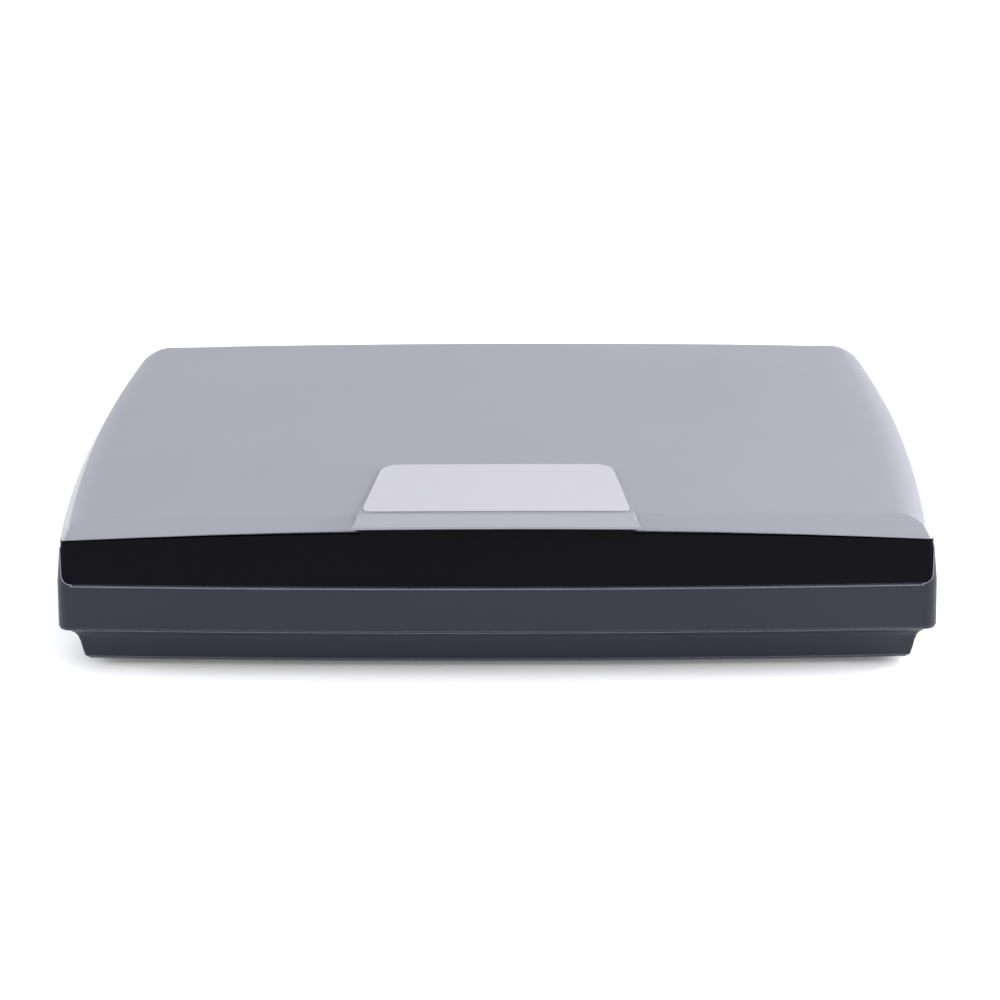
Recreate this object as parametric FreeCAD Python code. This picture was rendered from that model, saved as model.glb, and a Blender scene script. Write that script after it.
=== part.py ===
"""Flatbed scanner: a low housing, a moving scan head under glass and a lifting lid.

Millimetres. X runs across the long front, Y runs from front to back and Z is up.
The origin is the bottom centre of the whole scanner, with the lid closed.
"""
import FreeCAD, Part
import math
import os
from FreeCAD import Vector

os.makedirs("parts", exist_ok=True)

# ---- overall sizes ----
BODY_W = 496.0          # across the sides, at mid depth
BODY_D = 320.0          # front to back, on the centre line
FOOT_H = 3.0            # rubber feet under the plinth
WALL_LOW = 26.5         # underside of the overhanging wall
BAND_LOW = 54.7         # lower edge of the black band
DECK_TOP = 78.0         # bezel around the glass
REAR_TOP = 68.0         # lower shelf behind the bezel, where the lid swings down
LID_TOP = 97.8          # crown of the lid

# ---- housing ----
WALL = 3.0
FLOOR = 2.5
BODY_SIDE_BOW = 3.1
BODY_FRONT_BOW = 5.0
BODY_BACK_BOW = 3.0
BODY_FRONT_R = 7.0
BODY_BACK_R = 26.0
WALL_DRAFT = 1.1        # how far the wall draws in from its underside up to the band
WALL_EDGE = 1.6         # rounding of the wall's lower edge
BAND_CHAMFER = 1.1      # bevel on the wall just below the band
SLIVER = 0.08           # keeps two surfaces that would only touch properly apart
PAST = 1.0              # how far a cutting block runs past the surface it cuts
SINK = 0.5              # how far a post starts inside the surface it stands on
NECK = 1.0              # how far posts may reach into the walls beside them
# rounded lower edge of the wall: inset against rise, both in units of WALL_EDGE
EDGE_STEPS = ((1.0, 0.0), (0.3, 0.4), (0.0, 1.3))
BAND_DEPTH = 9.0        # how far back the band's opening is cut
REAR_CUT = 12.0         # how deep openings are cut into the back wall
VENT_COUNT = 9
VENT_X = -40.0
VENT_STEP = 10.0
VENT_W = 4.0
VENT_LOW = 38.5
VENT_H = 14.0
LEAN = 2.8              # how far the wall leans in from there up to the deck
REAR_STEP_Y = 32.0      # from the back of the housing to the step in the deck
# plinth: height above the floor line against distance in from the wall
PLINTH = ((0.0, 17.5), (0.9, 14.1), (3.0, 12.1), (8.0, 11.1), (13.0, 10.3),
          (16.5, 9.4), (19.0, 8.0), (21.3, 5.9), (23.5, 3.5))
BAND_CORNER_R = 5.0
BAND_END = 4.3          # from the corner of the housing to each end of the band
BAND_T = 2.4
BAND_SINK = 0.5         # the band's face sits this far behind the wall

# ---- deck and glass ----
DECK_SKIN = 2.0
DECK_LEDGE = 4.0        # height of the raised plateau above its flange
DECK_RIM = 2.5
DECK_GAP = 0.2
DECK_IN = 3.6           # from the inside of the lid's wall to the plateau
ABOVE_DECK = 10.0       # how far the band's back surface is followed above the deck
BAND_ZONE = 30.0        # depth over which the deck makes room for the band
DECK_BOSS_IN = 1.5
DECK_HOLE = 6.5         # depth of the screw holes in the deck's bosses
GLASS_W = 310.0         # clear opening
GLASS_D = 226.0
GLASS_X = -5.0          # centre of the opening
GLASS_Y = -8.0
GLASS_T = 3.0
GLASS_LAP = 8.0
TAPE_T = 0.4
TAPE_IN = 1.0
GLASS_R = 1.5
STRIP_GAP = 1.0
STRIP_IN = 4.0
STRIP_W = 12.0          # white calibration strip left of the opening

# ---- lid ----
LID_FRONT_IN = 3.0      # lip behind the front of the housing
LID_BACK_IN = 3.0
LID_SIDE_BOW = 7.4
LID_FRONT_BOW = 5.1
LID_BACK_BOW = 3.0
LID_FRONT_R = 2.0
LID_BACK_R = 24.0
LID_WALL = 2.5
SKIRT_LOW = 74.6        # lower edge of the side skirts
SKIRT_REAR_LOW = 82.5   # lower edge of the back wall
SKIRT_SHOULDER = 78.5   # where the skirt starts to lean in
SIDE_SLOPE = 0.62       # inward lean of the side wall, per unit of height
LIP_END = 79.3          # lip height at the front corners
LIP_RISE = 6.7          # how much higher the lip is at the centre
LIP_FACE = 1.5
LIP_GAP = 0.8           # between the lip and the band below it
BEVEL_RUN = 8.0
BEVEL_RISE = 9.6
CROWN_X = 1.9           # fall of the crown from the centre to the sides
CROWN_Y = 2.8
ROLL_SIDE = 26.0        # width of the rolled side
ROLL_SIDE_DROP = 11.2    # at the front, growing towards the back
ROLL_SIDE_GROWTH = 1.8
ROLL_BACK = 15.0
ROLL_BACK_DROP = 10.0
ROLL_POWER = 2.3
BEVEL_THICKER = 0.8     # extra wall under the bevel
REAR_CUT_IN = 6.0       # how far in front of the hinge axis the back wall is trimmed
HINGE_NOTCH = 1.5
HINGE_NOTCH_UP = 2.0
LID_BOSS_R = 4.0
BOSS_IN = 0.8
LID_HOLE = 6.5
LID_SHANK = 7.0
LID_SCREW_HEAD = 1.4
FRONT_SLAB = 11.0       # how far back the front lip runs before the skirts start

# ---- raised tab and nameplate ----
TAB_HALF_FRONT = 80.5
TAB_HALF_CREASE = 76.0
TAB_HALF_BACK = 67.3
TAB_DEPTH = 77.5
TAB_PROUD = 0.9
TAB_LIFT = 3.0
TAB_OUT = 0.7           # how far the tab's lip stands out in front of the lid
TAB_R = 13.0
PLATE_IN = 1.8
PLATE_FRONT_R = 5.0      # front corners of the nameplate
PLATE_BACK = 1.4        # nameplate's front edge behind the crease
PLATE_PROUD = 0.5
PLATE_T = 1.6
PLATE_GAP = 0.15

# ---- lid lining and pad ----
LINER_LOW = 81.3
LINER_T = 2.0
LINER_IN = 7.6
LINER_LIP_H = 2.0
LINER_GAP = 1.2
PAD_SIDE_GAP = 3.0
SHEET_IN = 0.6
PAD_GAP = 0.3
SHEET_T = 0.8
BUMPER_R = 4.0
BUMPER_SEAT = 1.0       # room around a bumper in its seat
BUMPER_SINK = 0.6       # depth of the seat
BUMPER_PRESS = 0.3
BUMPER_SIDE = 28.0
BUMPER_FRONT = 30.0
BUMPER_BACK = 14.0
LID_SCREW_X = 196.0
LID_SCREW_Y = 88.0

# ---- hinges ----
HINGE_X = 150.0
HINGE_SHIFT = 0.6       # share of a width change that moves the hinges
HINGE_BACK = 22.0       # axis in from the back of the housing
HINGE_Z = 87.0
POST_W = 24.0
POST_T = 8.0
POST_LOW = 36.0
BARREL_R = 5.0
PIN_R = 2.0
PIN_CLEAR = 0.05
SLIDE_CLEAR = 0.15
SOCKET_WALL = 2.5
SOCKET_RIB = 6.0
SOCKET_RIB_DOWN = 8.0
WAIST_END = 6.0
POST_HOLE = 0.4
EAR_NOTCH = 1.5
EAR_T = 4.0
EAR_GAP = 0.4

# ---- scan head ----
HEAD_W = 64.0
HEAD_LOW = 28.0
HEAD_TOP = 66.0
HEAD_WALL = 2.5
HEAD_X = -173.0         # centre of the head when parked
HEAD_FRONT = -128.0
HEAD_BACK = 112.0
SLIT_W = 9.0
COVER_T = 2.0
SLIT_END = 8.0
RIB_COUNT = 6
RIB_END = 20.0
RIB_T = 2.0
RIB_DOWN = 14.0
BLOCK_HALF = 6.5
BLOCK_DOWN = 7.5
CLAMP_W = 16.0
CLAMP_T = 2.4
CLAMP_GAP = 2.4
CLAMP_DOWN = 1.5
ROD_R = 4.0
ROD_END = 2.0
CRADLE_T = 2.5
CRADLE_OPEN = 0.6
CRADLE_LEFT = 8.0
CRADLE_W = 5.0
CRADLE_RIGHT = 7.0
CRADLE_RIGHT_W = 7.0
ROD_Y = -125.0
ROD_Z = 18.0
BLOCK_W = 12.0
SLEEVE_T = 1.6
RAIL_Y = 100.0
RAIL_W = 10.0
RAIL_TOP = 20.0
RAIL_T = 1.5
RAIL_WEB = 6.0
RAIL_END_LEFT = 30.0
RAIL_END_RIGHT = 60.0
SHOE_CLEAR = 0.1
SHOE_H = 4.0
SHOE_W = 22.0
SHOE_D = 11.0
SHOE_POST_W = 18.0

# ---- lamp, mirrors, lens and sensor ----
LAMP_X = 11.0
LAMP_DOWN = 6.0
LAMP_R = 2.6
LAMP_END = 6.0
CAP_HALF = 5.0
CAP_D = 8.0
REFLECTOR_R = 5.6
REFLECTOR_T = 0.8
REFLECTOR_END = 10.0
REFLECTOR_OPEN = 2.0
# each mirror: across, up, tilt in degrees, length
MIRRORS = ((0.0, 6.5, 45.0, 220.0), (18.9, 12.0, -22.0, 190.0), (-18.0, 9.0, 24.0, 150.0))
MIRROR_W = 14.0
MIRROR_T = 2.0
LENS_X = 5.5
LENS_UP = 26.0
LENS_R = 7.0
LENS_LENGTH = 12.5
LENS_RING_R = 5.4
LENS_RING_LENGTH = 2.5
SENSOR_GAP = 1.4
SENSOR_D = 68.0
SENSOR_UP = 12.0
SENSOR_DOWN = 2.0
CHIP_T = 2.4
CHIP_D = 44.0
CHIP_H = 8.0

# ---- drive ----
PULLEY_R = 6.4
DRIVE_X = 200.0
IDLER_X = -215.0
BELT_Y = -105.0
BELT_LOW = 15.0
BELT_H = 5.0
BELT_T = 1.2
BELT_CLEAR = 0.3
GEAR_MODULE = 0.8
GEAR_TEETH = 40
PINION_TEETH = 12
GEAR_LOW = 9.0
GEAR_H = 4.0
GEAR_GAP = 0.3
TOOTH_OUT = 0.7
TOOTH_IN = 1.0
TOOTH_HALF_WIDTHS = (0.32, 0.22, 0.11)  # at the root, on the pitch circle and at the tip
PINION_OVER = 1.0
RIM_R = 7.8
RIM_T = 1.0
RIM_GAP = 0.4           # between the belt and a pulley's rims
STUD_R = 2.0
STUD_BOSS = 2.5
STUD_IN = 1.0
SHAFT_R = 1.5
SHAFT_IN = 6.0
MOTOR_EAR = 21.0
MOTOR_EAR_D = 8.0
MOTOR_EAR_T = 1.0
CARRIER_LEFT = 7.0
CARRIER_RIGHT = 9.0
CARRIER_D = 18.0
CARRIER_UP = 3.0
CARRIER_WALL = 3.0
CARRIER_SKIN = 1.2
CARRIER_STUD_UP = 1.6
MOTOR_R = 17.5
MOTOR_H = 19.0
MOTOR_DX = 5.0
BRACKET_LOW = 24.0
BRACKET_T = 1.5
BRACKET_R = 3.0
BRACKET_WINDOW_R = 5.0
BRACKET_PLAN = (-15.0, 25.0, -8.0, 49.0)
BRACKET_HOLES = ((-11.0, 44.0), (21.0, 44.0), (21.0, -3.0))
BRACKET_POST_R = 4.0
BRACKET_HOLE = 8.0
BRACKET_SHANK = 7.0

# ---- electrics ----
BOARD_W = 48.0
BOARD_D = 112.0
BOARD_X = 212.0
BOARD_T = 1.6
BOARD_Z = 33.0
BOARD_GAP = 0.5
BOARD_BACK = 6.0
BOARD_RIGHT_IN = 6.0
BOARD_WING = 8.0
BOARD_WING_D = 22.0
BOARD_POST_R = 3.5
BOARD_HOLE = 5.0
BOARD_HOLE_RIGHT = 14.0
BOARD_HOLE_BACK = 72.0
BOARD_SCREW_H = 1.6
COLUMN_GAP = 1.0
# each chip: across, back, width, depth, height
CHIPS = ((-5.0, 34.0, 20.0, 20.0, 1.8), (-7.0, 58.0, 10.0, 17.0, 1.4), (5.0, 58.0, 6.0, 6.0, 1.4))
HEADER_PLACE = (-14.0, 12.0)
HEADER_W = 24.0
HEADER_D = 5.0
PORT_W = 12.0
PORT_H = 11.0
PORT_D = 16.0
PORT_GAP = 0.3
PORT_SINK = 1.2
PORT_WALL = 1.7
PORT_HOLE = 9.5
TONGUE_W = 5.6
TONGUE_H = 3.2
TONGUE_SINK = 1.2
JACK_D = 13.0
JACK_PIN_R = 1.0
JACK_W = 9.0
JACK_R = 2.8
USB_X = 200.0
JACK_X = 181.0
SWITCH_X = -196.0
SWITCH_W = 21.0
SWITCH_H = 14.0
SWITCH_Z = 44.0
SWITCH_HOLE = 22.0
SWITCH_D = 18.0
SWITCH_SINK = 0.6
SWITCH_BAY = 12.0
SWITCH_RIM = 1.6
SWITCH_PIVOT_IN = 6.0
SWITCH_PIN_R = 1.0
SWITCH_PIN_END = 1.0
ROCKER_GAP = 2.1
# outline of the rocker seen from above: across, and back from the rear wall
ROCKER_PROFILE = ((-7.5, -1.9), (0.0, -2.6), (7.5, 0.2), (6.7, -5.0), (3.2, -8.4), (-3.2, -8.4), (-6.7, -7.2))
FLEX_W = 20.0
FLEX_T = 0.6
FLEX_Y = 40.0
FLEX_FOLD_R = 8.0
FLEX_UP = 0.8
FLEX_ANCHOR = 8.0
FLEX_TAIL = 16.0
FLEX_FOLD = 14.0
CLIP_W = 8.0
CLIP_OVER = 1.0

# ---- fasteners and feet ----
COLUMN_R = 6.5
COLUMN_X = 217.0
COLUMN_Y = 131.0
REAR_COLUMN_X = 178.0
WELL_R = 4.2
SCREW_R = 1.5
SCREW_HEAD_R = 3.0
SCREW_HEAD_H = 2.2
SCREW_CLEAR = 0.1
SCREW_BITE = 0.1        # how much thinner the holes that screws cut into are
COLUMN_HEAD = 8.0       # from the top of a column down to its screw's head
CASE_SHANK = 6.0
JOIN_Z = 58.0           # height where deck bosses meet the housing columns
FOOT_R = 9.0
FOOT_X = 196.0
FOOT_Y = 112.0
FOOT_SINK = 1.0
FOOT_ROUND = 1.0

# ---- half sizes the inner layout above was drawn for; other sizes shift it ----
LAYOUT_HALF_W = 248.0
LAYOUT_HALF_D = 160.0

# ---- places worked out from the sizes above ----
HALF_W = BODY_W / 2
FRONT = -BODY_D / 2
BACK = BODY_D / 2
BOTTOM = FOOT_H
FLOOR_TOP = BOTTOM + FLOOR
STEP_Y = BACK - REAR_STEP_Y
LID_FRONT = FRONT + LID_FRONT_IN
LID_BACK = BACK - LID_BACK_IN
HINGE_Y = BACK - HINGE_BACK
PLATE_LOW = DECK_TOP - DECK_SKIN
FLANGE_TOP = DECK_TOP - DECK_LEDGE
TALL = LID_TOP + 40.0   # higher than everything
LIP_ZONE_FRONT = FRONT - 20.0
LIP_ZONE_BACK = FRONT + 40.0
WIDTH_SHIFT = HALF_W - LAYOUT_HALF_W
DEPTH_SHIFT = BACK - LAYOUT_HALF_D


def box(x0, x1, y0, y1, z0, z1):
    return Part.makeBox(x1 - x0, y1 - y0, z1 - z0, Vector(x0, y0, z0))


def rod_x(radius, x0, x1, y, z):
    return Part.makeCylinder(radius, x1 - x0, Vector(x0, y, z), Vector(1, 0, 0))


def rod_y(radius, x, y0, y1, z):
    return Part.makeCylinder(radius, y1 - y0, Vector(x, y0, z), Vector(0, 1, 0))


def rod_z(radius, x, y, z0, z1):
    return Part.makeCylinder(radius, z1 - z0, Vector(x, y, z0), Vector(0, 0, 1))


def save(shape, name):
    shape.exportStep("parts/" + name + ".step")


def joined(shapes):
    result = shapes[0]
    for shape in shapes[1:]:
        result = result.fuse(shape)
    return result.removeSplitter()


def arc(a, b, c):
    return Part.Arc(a, b, c).toShape()


def outline(half, front, back, bows, radii, z):
    """Closed wire with bowed sides: bows are side, front, back; radii are front, back."""
    side_bow, front_bow, back_bow = bows
    front_r, back_r = radii
    corner = half - side_bow
    y_front = front + front_bow
    y_back = back - back_bow
    mid = (y_front + y_back) / 2
    edges = []
    diagonal = math.sqrt(0.5)
    for s in (1, -1):
        fx = s * (corner - front_r)
        fy = y_front + front_r
        f_mid = Vector(fx + s * front_r * diagonal, fy - front_r * diagonal, z)
        f_arc = [Vector(fx, y_front, z), f_mid, Vector(s * corner, fy, z)]
        bx = s * (corner - back_r)
        by = y_back - back_r
        b_mid = Vector(bx + s * back_r * diagonal, by + back_r * diagonal, z)
        b_arc = [Vector(s * corner, by, z), b_mid, Vector(bx, y_back, z)]
        side = [f_arc[2], Vector(s * half, mid, z), b_arc[0]]
        group = [f_arc, side, b_arc]
        if s > 0:
            edges.append([Vector(-fx, y_front, z), Vector(0, front, z), f_arc[0]])
            edges.extend(group)
            edges.append([b_arc[2], Vector(0, back, z), Vector(-bx, y_back, z)])
        else:
            edges.extend([[c, b, a] for a, b, c in reversed(group)])
    return Part.Wire([arc(*points) for points in edges])


def body_outline(inset, z):
    radii = (max(BODY_FRONT_R - inset, 1.5), max(BODY_BACK_R - inset, 3.0))
    bows = (BODY_SIDE_BOW, BODY_FRONT_BOW, BODY_BACK_BOW)
    return outline(HALF_W - inset, FRONT + inset, BACK - inset, bows, radii, z)


def lid_outline(inset, z):
    radii = (max(LID_FRONT_R - inset, 0.8), max(LID_BACK_R - inset, 3.0))
    bows = (LID_SIDE_BOW, LID_FRONT_BOW, LID_BACK_BOW)
    return outline(HALF_W - inset, LID_FRONT + inset, LID_BACK - inset, bows, radii, z)


def prism(wire, height):
    return Part.Face(wire).extrude(Vector(0, 0, height))


def stack(wires):
    return Part.makeLoft(wires, True, True)


def lean_at(z):
    """How far the wall has drawn in at a height."""
    drawn = WALL_DRAFT * min(1.0, (z - WALL_LOW) / (BAND_LOW - WALL_LOW))
    return drawn + LEAN * max(0.0, z - BAND_LOW) / (DECK_TOP - BAND_LOW)


def body_upper(inset, z0, z1):
    return stack([body_outline(inset + lean_at(z0), z0), body_outline(inset + lean_at(z1), z1)])


# ---- lid surfaces ----
def lip_height(x):
    return LIP_END + LIP_RISE * (1.0 - (x / HALF_W) ** 2)


def lid_side(y):
    """Half width of the lid at a depth."""
    mid = (LID_FRONT + LID_BACK) / 2
    reach = (LID_BACK - LID_FRONT) / 2
    return HALF_W - LID_SIDE_BOW * min(1.0, ((y - mid) / reach) ** 2)


def lid_front_edge(x):
    return LID_FRONT + LID_FRONT_BOW * min(1.2, (x / HALF_W) ** 2)


def lid_back_edge(x):
    return LID_BACK - LID_BACK_BOW * min(1.2, (x / HALF_W) ** 2)


def roll(distance, width, drop):
    """Rounded fall towards an edge: 0 at the width, the full drop at the edge."""
    return drop * max(0.0, (width - distance) / width) ** ROLL_POWER


def edge_roll(x, y):
    """Fall of the rolled sides and back, carried round the corner's radius."""
    along = min(1.0, max(0.0, (y - LID_FRONT) / (LID_BACK - LID_FRONT)))
    side_drop = ROLL_SIDE_DROP + ROLL_SIDE_GROWTH * along
    from_side = lid_side(y) - abs(x)
    from_back = lid_back_edge(x) - y
    a = LID_BACK_R - from_side
    b = LID_BACK_R - from_back
    if a > 0 and b > 0:
        reach = math.hypot(a, b)
        share = (a / reach) ** 2
        width = ROLL_SIDE * share + ROLL_BACK * (1.0 - share)
        drop = side_drop * share + ROLL_BACK_DROP * (1.0 - share)
        return roll(LID_BACK_R - reach, width, drop)
    if from_side < from_back:
        return roll(from_side, ROLL_SIDE, side_drop)
    return roll(from_back, ROLL_BACK, ROLL_BACK_DROP)


def top_height(x, y):
    mid = (LID_FRONT + LID_BACK) / 2
    reach = (LID_BACK - LID_FRONT) / 2
    crown = CROWN_X * (x / HALF_W) ** 2 + CROWN_Y * ((y - mid - 30.0) / reach) ** 2
    return LID_TOP - crown - edge_roll(x, y)


def bevel_height(x, y):
    run = max(-2.0, y - lid_front_edge(x)) / BEVEL_RUN
    curve = 0.55 * run + 0.45 * run * abs(run)
    return lip_height(x) + LIP_FACE + BEVEL_RISE * (1.0 - 0.32 * (1.0 - (x / HALF_W) ** 2)) * curve


def spread(start, stop, count):
    return [start + (stop - start) * i / (count - 1) for i in range(count)]


def surface_above(height_at, xs, ys, shift, forward):
    """Solid that fills everything above a height field, moved by shift and forward."""
    grid = []
    for x in xs:
        grid.append([Vector(x, y - forward, height_at(x, y) + shift) for y in ys])
    surface = Part.BSplineSurface()
    surface.interpolate(grid)
    return surface.toShape().extrude(Vector(0, 0, 70.0))


def edge_rows():
    """Cross-wise stations, closer together where the side rolls down."""
    inner = spread(0.0, HALF_W - ROLL_SIDE - 8.0, 7)
    outer = spread(HALF_W - ROLL_SIDE - 3.0, HALF_W - 0.5, 13)
    half = inner + outer + [HALF_W + 6.0]
    return [-x for x in reversed(half[1:])] + half


def depth_rows():
    front = spread(LID_FRONT - 8.0, LID_BACK - ROLL_BACK - 6.0, 14)
    back = spread(LID_BACK - ROLL_BACK - 1.0, LID_BACK, 8)
    return front + back + [LID_BACK + 6.0]


def above_top(shift):
    return surface_above(top_height, edge_rows(), depth_rows(), shift, 0.0)


def above_bevel(shift, forward):
    xs = spread(-HALF_W - 6.0, HALF_W + 6.0, 17)
    ys = spread(LID_FRONT - 8.0, LID_FRONT + 34.0, 12)
    return surface_above(bevel_height, xs, ys, shift, forward)


def under_lip(shift, y0, y1):
    """Solid below the arched lip line, between two depths."""
    points = []
    for x in spread(-HALF_W - 10.0, HALF_W + 10.0, 11):
        points.append(Vector(x, y0, lip_height(x) + shift))
    curve = Part.BSplineCurve()
    curve.interpolate(points)
    low = BAND_LOW - 20.0
    first = Vector(points[0].x, y0, low)
    last = Vector(points[-1].x, y0, low)
    edges = [curve.toShape(), Part.makeLine(points[-1], last)]
    edges.append(Part.makeLine(last, first))
    edges.append(Part.makeLine(first, points[0]))
    return Part.Face(Part.Wire(edges)).extrude(Vector(0, y1 - y0, 0))


def lid_block(inset, low):
    """The lid's outer form, before the top and the bevel are cut."""
    lean = SIDE_SLOPE * (TALL - SKIRT_SHOULDER) * 0.3
    high = SKIRT_SHOULDER + lean / SIDE_SLOPE
    base = prism(lid_outline(inset, low), SKIRT_SHOULDER - low)
    upper = stack([lid_outline(inset, SKIRT_SHOULDER), lid_outline(inset + lean, high)])
    return base.fuse(upper)


def tab_outline(grow, z):
    """Plan of the tab or of the nameplate: wider at the lip, with rounded back corners."""
    y_front = LID_FRONT - 6.0
    y_crease = LID_FRONT + BEVEL_RUN + 2.0
    y_back = LID_FRONT + TAB_DEPTH + grow
    front = TAB_HALF_FRONT + grow
    crease = TAB_HALF_CREASE + grow
    back = TAB_HALF_BACK + grow
    r = TAB_R + grow
    right = [Vector(front, y_front, z), Vector(front, LID_FRONT, z)]
    bend = Vector(crease + 1.4, LID_FRONT + BEVEL_RUN * 0.45, z)
    end = Vector(crease, y_crease, z)
    corner_in = Vector(back, y_back - r, z)
    corner_mid = Vector(back - r + r * math.sqrt(0.5), y_back - r + r * math.sqrt(0.5), z)
    corner_out = Vector(back - r, y_back, z)

    def flip(v):
        return Vector(-v.x, v.y, v.z)

    edges = [Part.makeLine(right[0], right[1]), arc(right[1], bend, end)]
    edges.append(Part.makeLine(end, corner_in))
    edges.append(arc(corner_in, corner_mid, corner_out))
    edges.append(Part.makeLine(corner_out, flip(corner_out)))
    edges.append(arc(flip(corner_out), flip(corner_mid), flip(corner_in)))
    edges.append(Part.makeLine(flip(corner_in), flip(end)))
    edges.append(arc(flip(end), flip(bend), flip(right[1])))
    edges.append(Part.makeLine(flip(right[1]), flip(right[0])))
    edges.append(Part.makeLine(flip(right[0]), right[0]))
    return Part.Wire(edges)


# ---- housing ----
def column_places():
    x_side = COLUMN_X + WIDTH_SHIFT
    y_front = -(COLUMN_Y + DEPTH_SHIFT)
    y_rear = COLUMN_Y + DEPTH_SHIFT
    x_rear = REAR_COLUMN_X + WIDTH_SHIFT
    return [(-x_side, y_front), (x_side, y_front), (-x_side, y_rear), (x_rear, y_rear)]


def post_places():
    x = HINGE_X + WIDTH_SHIFT * HINGE_SHIFT
    return [-x, x]


def plinth_stack(inset):
    return stack([body_outline(inward + inset, BOTTOM + height) for height, inward in PLINTH])


def plinth_cavity():
    top = body_outline(PLINTH[-1][1] + WALL, WALL_LOW + WALL + SLIVER)
    wires = [body_outline(PLINTH[2][1] + WALL, FLOOR_TOP)]
    for height, inward in PLINTH[3:]:
        wires.append(body_outline(inward + WALL, BOTTOM + height))
    wires.append(top)
    return stack(wires)


def band_window(margin, z1):
    """Block that marks the front opening the black band fills."""
    half = HALF_W - BODY_SIDE_BOW - BAND_END + margin
    low = BAND_LOW - margin
    block = box(-half, half, FRONT - PAST, FRONT + BODY_FRONT_BOW + BAND_DEPTH, low, z1)
    radius = BAND_CORNER_R + margin
    corners = [e for e in block.Edges if e.BoundBox.XLength < SLIVER
               and e.BoundBox.ZLength < SLIVER and e.BoundBox.ZMax < low + SLIVER]
    return block.makeFillet(radius, corners)


def band_bevel():
    """What the bevel under the band takes off the wall."""
    half = HALF_W - BODY_SIDE_BOW - BAND_END - BAND_CORNER_R
    low = BAND_LOW - BAND_CHAMFER
    high = BAND_LOW + BAND_CHAMFER
    slab = box(-half, half, FRONT - PAST, FRONT + BODY_FRONT_BOW + BAND_DEPTH, low, high)
    start = lean_at(low) + SLIVER
    kept = stack([body_outline(start, low), body_outline(start + 2 * BAND_CHAMFER, high)])
    return slab.cut(kept)


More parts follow.
